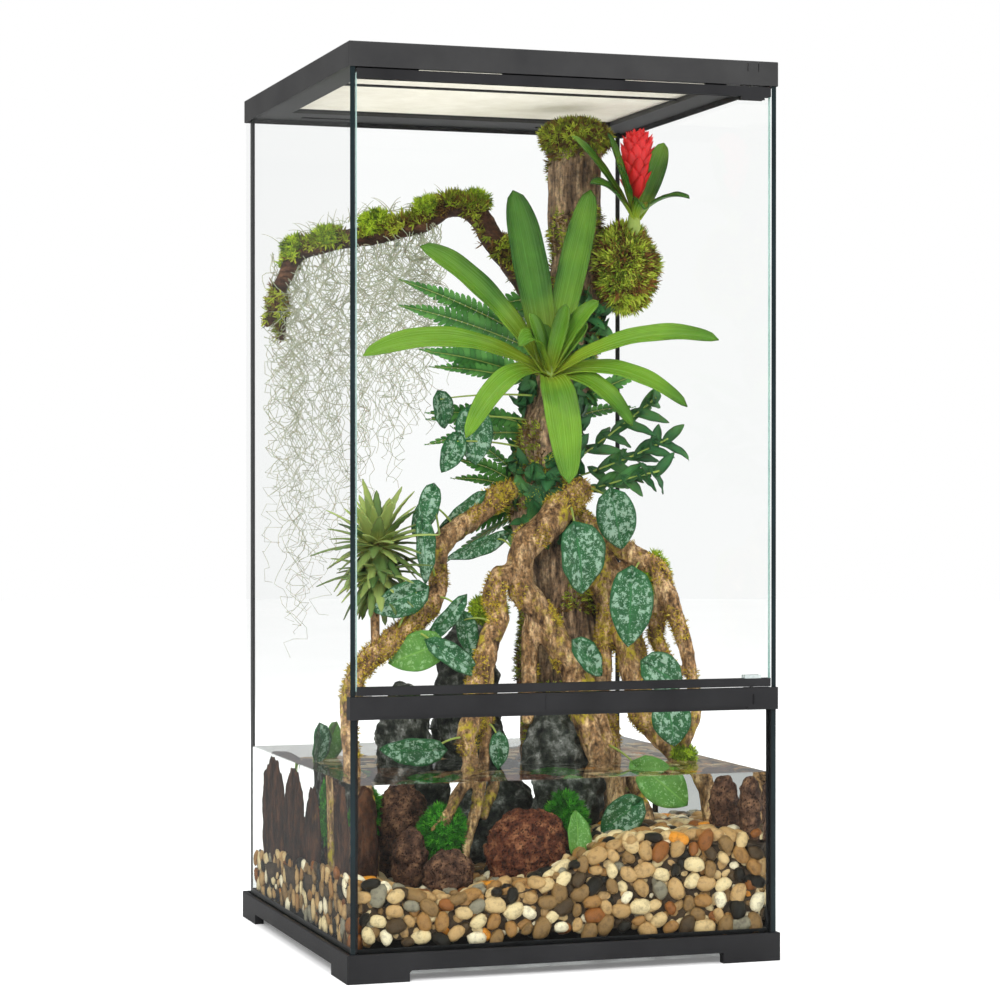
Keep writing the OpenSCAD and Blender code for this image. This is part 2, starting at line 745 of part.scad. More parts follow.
module centre_root_shape() {
    limb([[104, 14, 492, 13], [76, 2, 470, 17], [46, -10, 442, 17], [24, -18, 426, 16], [16, -26, 404, 14],
          [16, -30, 380, 15], [36, -32, 357, 14], [56, -38, 318, 15], [70, -46, 294, 15], [74, -60, 250, 13],
          [84, -66, 216, 12], [93, -74, 190, 11], [92, -82, 150, 10], [91, -88, 90, 10]], sides = 9);
    limb([[14, -26, 400, 11], [-8, -34, 394, 12], [-19, -42, 376, 12], [-16, -52, 350, 12],
          [-29, -62, 330, 12], [-37, -70, 311, 12], [-49, -79, 288, 11], [-60, -92, 245, 11], [-69, -99, 226, 9],
          [-63, -104, 203, 8], [-70, -108, 156, 6], [-82, -114, 122, 5], [-86, -120, 80, 5]]);
    limb([[-62, -104, 201, 7], [-92, -112, 172, 6], [-105, -119, 140, 5]], k = 1);
    limb([[-94, -112, 169, 3], [-102, -116, 160, 2.5], [-121, -124, 138, 2]], sides = 6, k = 1);
    limb([[-35, -68, 318, 6], [-36, -74, 262, 7], [-40, -79, 226, 6], [-45, -86, 180, 6], [-60, -100, 146, 5]], k = 1);
    limb([[34, -26, 366, 9], [30, -24, 335, 10], [27, -28, 305, 9], [24, -33, 272, 8], [20, -40, 236, 6]], k = 1);
    limb([[70, -40, 300, 9], [92, -46, 268, 9], [101, -54, 234, 8], [106, -62, 208, 7], [100, -72, 180, 6]], k = 1);
}

module centre_root() {
    color(pale_wood) resize([0, 0, 0]) difference() {
        centre_root_shape();
        trunk_shape();
        grey_rock_shapes();
    }
}

module right_root_shapes() {
    limb([[84, 26, 478, 12], [104, 18, 452, 12], [124, 8, 438, 12], [150, -5, 417, 12], [175, -18, 402, 12],
          [183, -30, 378, 11], [193, -42, 342, 9], [203, -56, 290, 7], [205, -68, 250, 6], [193, -78, 226, 6],
          [182, -84, 206, 5]]);
    limb([[150, 8, 410, 11], [172, -8, 386, 10], [178, -22, 350, 10], [170, -32, 326, 9], [178, -42, 304, 8],
          [193, -50, 284, 6]], k = 1);
    limb([[112, 24, 436, 20], [128, 12, 388, 20], [140, -5, 344, 19], [148, -15, 311, 17], [151, -26, 278, 16],
          [150, -40, 244, 13], [163, -56, 222, 12], [180, -74, 199, 11], [190, -88, 176, 10], [195, -98, 150, 10],
          [196, -108, 90, 11]]);
    limb([[122, -6, 262, 8], [122, -25, 216, 8], [122, -45, 174, 7], [131, -66, 146, 6], [138, -86, 90, 6]], k = 1);
    limb([[122, 2, 366, 8], [121, -4, 330, 9], [118, -12, 290, 9], [112, -16, 252, 8]], k = 1);
}

module right_roots() {
    color(pale_wood) resize([0, 0, 0]) difference() {
        right_root_shapes();
        trunk_shape();
        centre_root_shape();
        grey_rock_shapes();
    }
}

// ---------- bark and stones ----------

module bark_shape() {
    lump([-203, 140, 118], [11, 46, 70], 1, 0.1);
    lump([-200, 48, 112], [12, 40, 72], 2, 0.12);
    lump([-198, -30, 110], [11, 28, 62], 3, 0.1);
    lump([-196, -146, 128], [12, 20, 58], 4, 0.12);
}

module cork_bark() {
    color([0.36, 0.22, 0.14]) resize([0, 0, 0]) difference() {
        bark_shape();
        left_root_shape();
    }
}

module lava_shape() { lump([-20, -142, 112], [47, 38, 44], 5, 0.07, 7, 12); }
module lava_rock() {
    color([0.34, 0.14, 0.1]) resize([0, 0, 0]) difference() {
        lava_shape();
        centre_root_shape();
    }
}

module brown_rock_shapes() {
    lump([-110, -158, 96], [27, 18, 24], 6);
    lump([-146, -128, 108], [19, 18, 34], 7);
    lump([-140, -58, 128], [34, 30, 54], 8);
    lump([193, -156, 146], [17, 18, 38], 9);
    lump([209, -196, 150], [12, 19, 38], 10);
}

module brown_rocks() {
    color([0.38, 0.27, 0.18]) resize([0, 0, 0]) difference() {
        brown_rock_shapes();
        left_root_shape();
        right_root_shapes();
    }
}

module grey_rock_shapes() {
    lump([48, -46, 168], [40, 28, 84], 11, 0.1);
    lump([-26, 30, 250], [40, 34, 92], 12, 0.1);
    lump([-20, 20, 120], [52, 44, 60], 13, 0.1);
    lump([-100, 20, 170], [34, 34, 100], 14, 0.12);
}

module grey_rocks() {
    color([0.42, 0.43, 0.42]) resize([0, 0, 0]) difference() {
        grey_rock_shapes();
        trunk_shape();
    }
}

// ---------- moss ----------

module moss_cap() {
    color([0.42, 0.42, 0.12]) resize([0, 0, 0]) difference() {
        lump([110, 58, 880], [40, 38, 19], 15, 0.1, 6, 12);
        trunk_shape();
    }
}

module moss_ball_shape() { lump([157, 32, 734], [33, 30, 42], 16, 0.08, 6, 12); }

module moss_ball() {
    color([0.4, 0.42, 0.12]) resize([0, 0, 0]) difference() {
        moss_ball_shape();
        trunk_shape();
    }
}

module branch_moss_shape() {
    lump([0, 88, 808], [18, 15, 12], 17);
    lump([-46, 96, 800], [22, 15, 12], 18);
    lump([-106, 118, 782], [20, 15, 15], 19);
    lump([-152, 138, 768], [20, 15, 12], 20);
    lump([-188, 154, 756], [15, 13, 13], 21);
}

module branch_moss() {
    color([0.5, 0.58, 0.1]) resize([0, 0, 0]) difference() {
        branch_moss_shape();
        arch_shape();
    }
}

module root_moss() {
    color([0.55, 0.62, 0.08]) resize([0, 0, 0]) difference() {
        union() {
            lump([176, -12, 386], [17, 17, 32], 22);
            lump([184, -82, 196], [16, 13, 15], 23);
            lump([-2, 30, 352], [22, 20, 16], 24);
        }
        right_root_shapes();
        left_root_shape();
        centre_root_shape();
        grey_rock_shapes();
        trunk_shape();
        basin_space(water_z + fill_gap);
    }
}

module water_moss_shape() {
    difference() {
        union() {
            lump([-104, -104, 132], [24, 22, 28], 25, 0.12);
            lump([32, -96, 132], [22, 20, 36], 26, 0.12);
            lump([-176, -60, 150], [12, 16, 30], 27, 0.12);
        }
        sunk_pieces();
    }
}

module water_moss() { color([0.2, 0.55, 0.1]) resize([0, 0, 0]) difference() { water_moss_shape(); gravel_shape(); } }

// ---------- plants ----------

big_heart = [55, -8, 612];
big_tips = [
    [[12, -14, 812], 8, 19], [[-102, -44, 746], 34, 16], [[-170, -64, 628], 52, 14], [[-66, -92, 542], 60, 12],
    [[36, -128, 494], 60, 18], [[104, -8, 816], 4, 15], [[203, -134, 647], 40, 12], [[188, -82, 577], 44, 11],
    [[132, -64, 556], 40, 11], [[0, -70, 640], 46, 10], [[90, -70, 690], 20, 9]
];

module large_bromeliad() {
    color(leaf_green) resize([0, 0, 0]) difference() {
        union() {
            for (t = big_tips) strap(big_heart + 7 * unit(t[0] - big_heart), t[0], t[1], t[2]);
            lump([55, -8, 604], [16, 14, 22], 33, 0.03, 5, 8);
            limb([[60, -2, 600, 10], [72, 18, 597, 11], [86, 38, 594, 11]], sides = 7, k = 1);
        }
        trunk_shape();
    }
}

red_heart = [163, 14, 786];
red_tips = [
    [[86, 4, 876], 14, 8], [[100, -18, 822], 24, 8], [[126, -2, 880], 6, 7], [[194, 2, 872], -6, 11],
    [[204, -48, 806], 22, 7], [[150, -52, 792], 26, 7], [[196, 40, 812], 20, 7], [[128, -30, 842], 16, 7]
];

module red_bromeliad() {
    color(leaf_green) resize([0, 0, 0]) difference() {
        union() {
            for (t = red_tips) strap(red_heart + 5 * unit(t[0] - red_heart), t[0], t[1], t[2], rings = 6);
            lump([163, 14, 780], [10, 10, 16], 31, 0.03, 5, 8);
        }
        moss_ball_shape();
        spike_shape();
        trunk_shape();
    }
}

module spike_shape() {
    limb([[163, 14, 790, 4], [165, 14, 812, 5], [167, 14, 826, 9], [169, 14, 850, 14], [170, 14, 872, 13],
          [170, 14, 888, 8], [170, 14, 894, 3]], sides = 10, k = 1, rough = 0.05);
}

module flower_spike() { color([0.82, 0.1, 0.1]) spike_shape(); }

module rosette_stalk() {
    limb([[-156, -62, 316, 5], [-155, -56, 360, 5], [-151, -46, 400, 5], [-149, -42, 428, 7]], k = 1);
}

module spiky_rosette() {
    c = [-149, -42, 434];
    color(dark_green) resize([0, 0, 0]) difference() {
        union() {
            rosette_stalk();
            lump(c, [10, 10, 10], 32, 0.03);
            for (i = [0:23])
                let (a = i * 137.5, e = -24 + 100 * i / 23, reach = 64 - 7 * (i % 3),
                     way = [cos(a) * cos(e), sin(a) * cos(e), sin(e)])
                limb([concat(c + 7 * way, 2.3), concat(c + reach * 0.55 * way + [0, 0, 3], 2.6),
                      concat(c + reach * way, 0.5)], sides = 4, k = 1, rough = 0);
        }
        left_root_shape();
    }
}

// A fern frond from a to b: toothed outline, half width w
module frond(a, b, w, droop) {
    p = seat(a);
    q = seat(b);
    length = norm(q - p);
    teeth = round(length / 9);
    turn = atan2(q.z - p.z, norm([q.x - p.x, q.y - p.y]));
    translate(p) rotate([0, 0, atan2(q.y - p.y, q.x - p.x)]) rotate([droop, -turn, 0])
        linear_extrude(1.2) polygon(concat(
            [for (i = [0:teeth - 1]) each let (t = (i + 0.5) / teeth, h = w * grow * sin(25 + 150 * t))
                [[length * (t - 0.4 / teeth), 1], [length * (t + 0.1 / teeth), h], [length * (t + 0.4 / teeth), h * 0.9]]],
            [[length, 0]],
            [for (i = [teeth - 1:-1:0]) each let (t = (i + 0.5) / teeth, h = w * grow * sin(25 + 150 * t))
                [[length * (t + 0.4 / teeth), -h * 0.9], [length * (t + 0.1 / teeth), -h], [length * (t - 0.4 / teeth), -1]]]));
}

fern_list = [
    [[80, 56, 634], [-88, 74, 690], 17, 60], [[76, 56, 604], [-60, 70, 640], 15, 70],
    [[60, 56, 558], [-58, 72, 572], 14, 60], [[50, 60, 488], [-30, 50, 520], 12, 50],
    [[54, 58, 470], [-40, 60, 430], 15, 60], [[90, 58, 568], [196, 66, 620], 12, 70],
    [[96, 78, 700], [20, 96, 690], 14, 60]
];

module fern_fronds() {
    color(dark_green) resize([0, 0, 0]) difference() {
        for (f = fern_list) frond(f[0], f[1], f[2], f[3]);
        trunk_shape();
        arch_shape();
    }
}

shrub_stems = [
    [[86, 42, 508], [158, 26, 560], [190, 16, 590]],
    [[86, 38, 496], [160, 20, 520], [200, 4, 544]],
    [[84, 32, 478], [150, 2, 500], [184, -10, 508]]
];

module shrub_sprigs() {
    color(dark_green) resize([0, 0, 0]) difference() {
        for (s = shrub_stems) {
            limb([for (p = s) [p[0], p[1], p[2], stem_r]], sides = 6, k = 2, rough = 0);
            for (i = [0:5]) let (t = 0.35 + i * 0.12, p = seat(s[0] * (1 - t) * (1 - t) + 2 * s[1] * t * (1 - t) + s[2] * t * t))
                translate(p) rotate([74, i % 2 * 14, -10]) rotate([0, 0, i % 2 ? 20 : -150]) heart(30, 13);
        }
        trunk_shape();
        right_root_shapes();
        centre_root_shape();
    }
}

// Vine leaves: base point, length, width, tip direction in degrees from +Z, turn about Z, support point
leaf_list = [
    [[118, -40, 474], 56, 42, 166, -8, [104, 16, 490]], [[66, -68, 436], 62, 58, 168, 6, [82, -2, 472]],
    [[128, -70, 386], 68, 46, 184, -10, [160, -12, 408]], [[66, -76, 318], 44, 30, 135, 0, [70, -50, 302]],
    [[-6, -14, 434], 62, 20, -112, 10, [14, -14, 420]], [[-26, 2, 476], 54, 18, -130, 10, [-2, 18, 474]],
    [[-86, -34, 484], 40, 22, -160, 0, [-68, -8, 430]], [[-104, -62, 446], 58, 24, 176, 0, [-80, -28, 390]],
    [[-66, -62, 364], 56, 20, -140, 0, [-84, -34, 372]], [[-96, -92, 322], 62, 24, 120, 0, [-118, -52, 340]],
    [[-96, -72, 322], 50, 40, -110, 0, [-112, -50, 344]], [[140, -96, 298], 44, 40, 120, 0, [151, -34, 262]],
    [[-112, -122, 218], 54, 30, -92, 0, [-68, -99, 228]], [[-36, -112, 226], 32, 20, 178, 0, [-37, -76, 240]],
    [[160, -98, 252], 40, 42, 176, 8, [158, -50, 230]], [[116, -132, 190], 54, 44, 130, 0, [103, -62, 212]],
    [[92, -152, 158], 44, 38, -130, 0, [92, -86, 130]], [[28, -162, 118], 40, 28, 4, 0, [26, -160, 92]],
    [[-170, 62, 222], 46, 38, -150, 40, [-199, 50, 168]], [[-196, 20, 226], 40, 32, 170, 60, [-200, 42, 168]],
    [[-60, 22, 586], 36, 26, 160, 0, [76, 44, 590]], [[-40, 24, 540], 40, 26, -150, 0, [56, 42, 530]],
    [[-20, 30, 566], 52, 40, 176, 0, [66, 44, 560]], [[-80, -8, 472], 38, 24, -150, 0, [-48, 2, 445]],
    [[-116, -78, 380], 50, 36, -115, 0, [-134, -55, 328]], [[-52, -40, 348], 40, 24, 170, 0, [-20, -52, 344]]
];

module vine_leaf_shapes() {
    for (l = leaf_list) translate(seat(l[0])) rotate([90, 0, l[4]]) rotate([0, 0, -l[3]]) heart(l[1], l[2]);
}

module vine_stem_shapes() {
    for (l = leaf_list) let (a = l[0], b = l[5], mid = (a + b) / 2 + [0, -4, 8])
        limb([concat(b, stem_r), concat(mid, stem_r), concat(a + [0, -leaf_t / 2, 0], stem_r * 0.8)],
             sides = 4, k = 2, rough = 0);
}

module vine_leaves() {
    color([0.25, 0.5, 0.25]) resize([0, 0, 0]) difference() {
        vine_leaf_shapes();
        gravel_shape();
        sunk_pieces();
    }
}

module vine_stems() {
    color([0.5, 0.65, 0.3]) resize([0, 0, 0]) difference() {
        vine_stem_shapes();
        gravel_shape();
        sunk_pieces();
        vine_leaf_shapes();
    }
}

// Strands of moss that hang from the arched branch
module hanging_moss() {
    color([0.62, 0.66, 0.52]) resize([0, 0, 0]) difference() {
        for (i = [0:strand_count - 1])
            let (t = i / (strand_count - 1), x = -206 + 158 * t, y = 172 - 78 * t,
                 top = 750 + 32 * sin(80 * t), drop = 400 - 230 * t + 60 * sin(i * 151))
            limb([for (j = [0:6]) [x + (j > 0 ? 3 * sin(i * 61 + j * 70) : 0),
                  y + (j > 0 ? 4 * sin(i * 83 + j * 95) : 0),
                  top - drop * j / 6, strand_r * (j < 5 ? 1 : 0.7)]], sides = 4, k = 1, rough = 0);
        arch_shape();
        branch_moss_shape();
    }
}

base_frame();
bottom_glass();
left_glass();
right_glass();
back_glass();
front_glass();
silicone_seals();
top_frame();
inlet_slide_left();
inlet_slide_right();
screen_frame();
screen_mesh();
screen_lock_left();
screen_lock_right();
crossbar();
crossbar_cap_left();
crossbar_cap_right();
catch_plate();
door_stop();
door_glass();
door_bottom_rail();
door_top_rail();
door_magnet();
lower_hinge_pin();
upper_hinge_pin();
lower_hinge_clamp();
upper_hinge_clamp();
gravel_bed();
water_surface();
trunk();
arch_branch();
left_root();
centre_root();
right_roots();
cork_bark();
lava_rock();
brown_rocks();
grey_rocks();
moss_cap();
moss_ball();
branch_moss();
root_moss();
water_moss();
large_bromeliad();
red_bromeliad();
flower_spike();
spiky_rosette();
fern_fronds();
shrub_sprigs();
vine_stems();
vine_leaves();
hanging_moss();
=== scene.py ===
import math
import random

import bmesh
import bpy
from mathutils import Matrix, Vector, noise


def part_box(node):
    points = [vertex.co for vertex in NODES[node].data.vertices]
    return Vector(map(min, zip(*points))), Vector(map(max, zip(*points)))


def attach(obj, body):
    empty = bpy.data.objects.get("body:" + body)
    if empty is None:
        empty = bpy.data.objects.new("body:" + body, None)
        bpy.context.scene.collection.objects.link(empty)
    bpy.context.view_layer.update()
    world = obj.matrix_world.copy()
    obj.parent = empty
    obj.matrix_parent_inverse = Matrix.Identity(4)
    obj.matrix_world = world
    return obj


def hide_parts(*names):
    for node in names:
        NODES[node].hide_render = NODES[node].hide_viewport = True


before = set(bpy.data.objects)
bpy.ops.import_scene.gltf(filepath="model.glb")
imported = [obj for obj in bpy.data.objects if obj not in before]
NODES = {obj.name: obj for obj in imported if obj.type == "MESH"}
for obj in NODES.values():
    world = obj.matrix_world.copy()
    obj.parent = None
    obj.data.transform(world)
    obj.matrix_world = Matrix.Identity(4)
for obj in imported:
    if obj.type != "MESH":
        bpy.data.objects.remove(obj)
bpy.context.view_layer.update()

UP = Vector((0, 0, 1))
MM = 0.001
INNER = 0.223          # half the clear width between the panes
FLOOR = 0.025          # top of the bottom pane
WATER = 0.195          # water level
CLEAR = 0.001          # room between the planting and the panes
scene = bpy.context.scene
scene.view_settings.view_transform = "Standard"


def mm(x, y, z):
    return Vector((x, y, z)) * MM


# ---------- camera ----------

VIEW_PLACE = (-0.94172, -2.8834, 0.49338)
VIEW_TURN = 18.12
VIEW_DROP = 0.326
VIEW_LENS = 100.34
VIEW_SENSOR = 36

view = bpy.data.objects.new("view", bpy.data.cameras.new("view"))
view.data.lens = VIEW_LENS
view.data.sensor_width = VIEW_SENSOR
view.location = VIEW_PLACE
view.rotation_euler = (math.radians(90 - VIEW_DROP), 0, math.radians(-VIEW_TURN))
scene.collection.objects.link(view)
scene.camera = view


# ---------- node helpers ----------

def feed(tree, socket, value):
    """Gives a socket its value, or a link where the value is another node's output."""
    if isinstance(value, bpy.types.NodeSocket):
        tree.links.new(value, socket)
    else:
        socket.default_value = value


def node_maker(tree, prefix=""):
    """A function that adds a node to the tree, with its settings and its inputs."""
    def add(kind, inputs=None, **settings):
        new = tree.nodes.new(prefix + kind)
        for key, value in settings.items():
            setattr(new, key, value)
        for key, value in (inputs or {}).items():
            feed(tree, new.inputs[key], value)
        return new
    return add


def fit(shader, values):
    """Gives a shader's inputs their values or links."""
    for socket, value in values.items():
        feed(shader.id_data, shader.inputs[socket], value)


def start_finish(name, values=None):
    """A new material, its node maker, its Principled shader and its object coordinates."""
    finish = bpy.data.materials.new(name)
    finish.use_nodes = True
    add = node_maker(finish.node_tree, "ShaderNode")
    shader = finish.node_tree.nodes["Principled BSDF"]
    fit(shader, values or {})
    return finish, add, shader, add("TexCoord").outputs["Object"]


def show(finish, surface):
    """Links a shader node to the material's output."""
    tree = finish.node_tree
    tree.links.new(surface.outputs[0], tree.nodes["Material Output"].inputs["Surface"])


def colour(hexcode):
    """A linear colour from six hex digits."""
    parts = [int(hexcode[i:i + 2], 16) / 255 for i in (0, 2, 4)]
    return tuple(c / 12.92 if c <= 0.04045 else ((c + 0.055) / 1.055) ** 2.4 for c in parts) + (1,)


def speckle(add, place, scale, detail=4, rough=0.55):
    """Cloudy noise from 0 to 1."""
    noisy = add("TexNoise", {"Vector": place, "Scale": scale, "Detail": detail, "Roughness": rough})
    return noisy.outputs["Fac"]


def shades(add, amount, *stops):
    """A colour ramp of (position, hex colour) stops."""
    ramp = add("ValToRGB", {"Fac": amount})
    band = ramp.color_ramp
    while len(band.elements) < len(stops):
        band.elements.new(0.5)
    for element, (place, code) in zip(band.elements, stops):
        element.position = place
        element.color = colour(code)
    return ramp.outputs["Color"]


def blend(add, amount, under, over, mode="MIX"):
    """Two colours mixed by amount."""
    return add("Mix", {0: amount, 6: under, 7: over}, data_type="RGBA", blend_type=mode).outputs[2]


def spread(add, value, low, high, to_low=0.0, to_high=1.0):
    """Stretches value from low..high to to_low..to_high."""
    return add("MapRange", {"Value": value, "From Min": low, "From Max": high,
                            "To Min": to_low, "To Max": to_high}).outputs["Result"]


def maths(add, operation, first, second=0.0, third=0.0, clamp=False):
    """The result of one Math node."""
    return add("Math", {0: first, 1: second, 2: third}, operation=operation, use_clamp=clamp).outputs[0]


def mix_shaders(add, amount, under, over):
    """Two shader nodes mixed by amount."""
    return add("MixShader", {0: amount, 1: under.outputs[0], 2: over.outputs[0]})


def relief(add, shader, height, depth, strength=0.5):
    """Bump of the given depth in metres."""
    bump = add("Bump", {"Height": height, "Strength": strength, "Distance": depth})
    fit(shader, {"Normal": bump.outputs["Normal"]})


def own_tint(add, name="tuft_tint"):
    """The tint from 0 to 1 that each repeated shape carries."""
    return add("Attribute", attribute_name=name).outputs["Fac"]


# ---------- finishes: tank ----------

def moulded_finish(name, dark, light, rough):
    """Moulded plastic with a fine spark-eroded grain and faint handling marks."""
    finish, add, shader, place = start_finish(name, {"Specular IOR Level": 0.45})
    grain = speckle(add, place, 1400, 3)
    marks = speckle(add, place, 14, 5)
    fit(shader, {"Base Color": shades(add, marks, (0.3, dark), (0.75, light)),
                 "Roughness": spread(add, grain, 0.3, 0.7, rough - 0.07, rough + 0.08)})
    relief(add, shader, grain, 0.00012, 0.35)
    return finish


PANE_GLOSS = 0.35      # share of a pane's mirror that is kept in a studio this pale
GLASS_IOR = 1.5
WATER_IOR = 1.33
EDGE_DEPTH = 0.0003    # how deep a pane's edge tint reaches


def pane_finish(name, node=None, axis="X", edge_dark="", edge_pale="", ends="ABSOLUTE"):
    """Clear float glass, mirrored on its outer face; a node's edges along the axis get painted light over
    the glass's own green: a painted highlight on the door's edges, painted shade on the side panes' edges.
    """
    finish, add, shader, place = start_finish(name, {"Base Color": (0.92, 0.96, 0.95, 1), "Metallic": 1})
    haze = speckle(add, place, 9, 3)
    fit(shader, {"Roughness": spread(add, haze, 0.55, 0.9, 0.0, 0.03)})
    clear = add("BsdfTransparent", {"Color": (0.996, 0.9995, 0.998, 1)})
    outer = maths(add, "SUBTRACT", 1.0, add("NewGeometry").outputs["Backfacing"])
    gloss = maths(add, "MULTIPLY", add("Fresnel", {"IOR": GLASS_IOR}).outputs[0], outer)
    pane = mix_shaders(add, maths(add, "MULTIPLY", gloss, PANE_GLOSS), clear, shader)
    if node:
        # edge colour: painted highlight on the door's edges, painted shade on the side panes' front edges,
        # each over the glass's own green
        tint = shades(add, haze, (0.3, edge_dark), (0.7, edge_pale))
        edge = add("BsdfPrincipled", {"Roughness": 0.18, "Base Color": tint})
        out = maths(add, ends, add("SeparateXYZ", {0: place}).outputs[axis], -1.0)
        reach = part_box(node)[1]["XYZ".index(axis)]
        pane = mix_shaders(add, maths(add, "GREATER_THAN", out, reach - EDGE_DEPTH), pane, edge)
    show(finish, pane)
    return finish


def bead_finish():
    """Black silicone, tooled smooth."""
    finish, add, shader, place = start_finish("bead_silicone", {"Roughness": 0.34})
    ripple = speckle(add, place, 60, 3)
    fit(shader, {"Base Color": shades(add, ripple, (0.3, "08090A"), (0.8, "151718"))})
    relief(add, shader, ripple, 0.0004, 0.3)
    return finish


def steel_finish():
    """Turned steel with fine tool marks round it."""
    finish, add, shader, place = start_finish("turned_steel", {"Metallic": 1, "Roughness": 0.3})
    turned = add("TexWave", {"Vector": place, "Scale": 900, "Distortion": 1.5}, bands_direction="Z")
    fit(shader, {"Base Color": shades(add, turned.outputs["Fac"], (0, "A8A8A6"), (1, "C9C9C6"))})
    relief(add, shader, turned.outputs["Fac"], 0.00005, 0.3)
    return finish


def clouded_finish(name, values, scale, detail, dark, pale):
    """A plain smooth finish with a faint cloud in its colour."""
    finish, add, shader, place = start_finish(name, values)
    fit(shader, {"Base Color": shades(add, speckle(add, place, scale, detail), (0.3, dark), (0.8, pale))})
    return finish


# ---------- finishes: stone, wood and water ----------

PEBBLE_COLOURS = (
    (0.0, "26231F"), (0.09, "4E3E2C"), (0.16, "876A44"), (0.28, "B08E60"),
    (0.4, "CBB084"), (0.52, "DBC8A0"), (0.64, "EAE0C8"), (0.71, "BC9A6C"),
    (0.8, "9C7444"), (0.88, "8A5528"), (0.93, "D88E2C"), (0.95, "858072"))


def pebble_finish():
    """River pebbles: each takes its own colour, with mottling and a wet gloss."""
    finish, add, shader, place = start_finish("river_pebbles")
    own = shades(add, own_tint(add, "pebble_tint"), *PEBBLE_COLOURS)
    own.node.color_ramp.interpolation = "CONSTANT"
    mottle = spread(add, speckle(add, place, 190, 6, 0.65), 0.35, 0.7)
    stain = shades(add, mottle, (0, "8A6E4A"), (0.5, "FFF6E4"), (1, "E6CFA6"))
    fit(shader, {"Base Color": blend(add, 0.55, own, stain, "MULTIPLY"),
                 "Roughness": spread(add, mottle, 0, 1, 0.28, 0.5)})
    relief(add, shader, speckle(add, place, 700, 4), 0.0004, 0.35)
    return finish


def stone_finish(name, stops, scale, depth, rough, pitted=False):
    """Rough natural stone; pitted adds the holes of volcanic rock, with painted shade in them."""
    finish, add, shader, place = start_finish(name, {"Roughness": rough})
    height = speckle(add, place, scale, 8, 0.68)
    base = shades(add, height, *stops)
    if pitted:
        holes = add("TexVoronoi", {"Vector": place, "Scale": scale * 4, "Randomness": 1.0})
        pit = spread(add, holes.outputs["Distance"], 0.12, 0.42)
        # painted shade: the holes darkened to near black
        base = blend(add, pit, colour("160A08"), base)
        height = blend(add, 0.5, pit, height)
    fit(shader, {"Base Color": base})
    relief(add, shader, height, depth, 0.8)
    return finish


def bark_finish(name, dark, mid, pale, lichen, cover, grain=(26, 26, 7), fine=240):
    """Furrowed wood along Z, darker in its furrows and cracks (partly its own colour, partly painted shade),
    with lichen and moss in patches.
    """
    finish, add, shader, place = start_finish(name, {"Roughness": 0.78})
    stretched = add("Mapping", {"Vector": place, "Scale": grain}).outputs["Vector"]
    furrow = speckle(add, stretched, 3.2, 9, 0.66)
    fibre = speckle(add, place, fine, 5, 0.6)
    crack = spread(add, speckle(add, stretched, 11.0, 6, 0.7), 0.36, 0.48)
    # darker in the furrows and cracks: partly the bark's own colour, partly painted shade
    wood = shades(add, furrow, (0.34, dark), (0.5, mid), (0.64, pale))
    wood = blend(add, 0.6, wood, shades(add, fibre, (0.35, dark), (0.65, pale)), "OVERLAY")
    wood = blend(add, crack, blend(add, 0.35, wood, colour(dark)), wood)
    patches = spread(add, speckle(add, place, 22, 7, 0.7), cover, cover + 0.09)
    flecks = spread(add, speckle(add, place, 150, 3), 0.42, 0.56)
    growth = maths(add, "MULTIPLY", patches, flecks)
    fit(shader, {"Base Color": blend(add, growth, wood, colour(lichen))})
    relief(add, shader, blend(add, 0.35, blend(add, 0.5, furrow, crack), fibre), 0.004, 0.9)
    return finish


def water_finish():
    """Still water: it bends light at its sides, ripples on top and lets the lamps through."""
    finish, add, shader, place = start_finish("basin_water", {
        "Base Color": (0.96, 0.985, 0.965, 1), "IOR": WATER_IOR, "Transmission Weight": 1, "Roughness": 0.0})
    top = maths(add, "GREATER_THAN", add("SeparateXYZ", {0: place}).outputs["Z"], WATER - 0.0005)
    relief(add, shader, maths(add, "MULTIPLY", speckle(add, place, 16, 3), top), 0.0012, 0.12)
    clear = add("BsdfTransparent", {"Color": (0.95, 0.985, 0.97, 1)})
    side = add("BsdfRefraction", {"Color": (0.96, 0.985, 0.965, 1), "Roughness": 0.0, "IOR": WATER_IOR})
    shiny = maths(add, "MAXIMUM", top, add("NewGeometry").outputs["Backfacing"])
    path = add("LightPath").outputs
    straight = maths(add, "MAXIMUM", path["Is Shadow Ray"], path["Is Diffuse Ray"])
    show(finish, mix_shaders(add, straight, mix_shaders(add, shiny, side, shader), clear))
    return finish


# ---------- finishes: plants ----------

def moss_finish(name, *stops):
    """Moss: each tuft has its own colour; the bed under the tufts is darker, partly the brown of older moss,
    partly painted shade.
    """
    finish, add, shader, place = start_finish(name, {
        "Roughness": 0.8, "Subsurface Weight": 0.1, "Subsurface Scale": 0.002})
    both = add("Mix", {0: 0.45, 2: own_tint(add), 3: speckle(add, place, 45, 4)}, data_type="FLOAT")
    fit(shader, {"Base Color": shades(add, both.outputs[0], *stops)})
    return finish


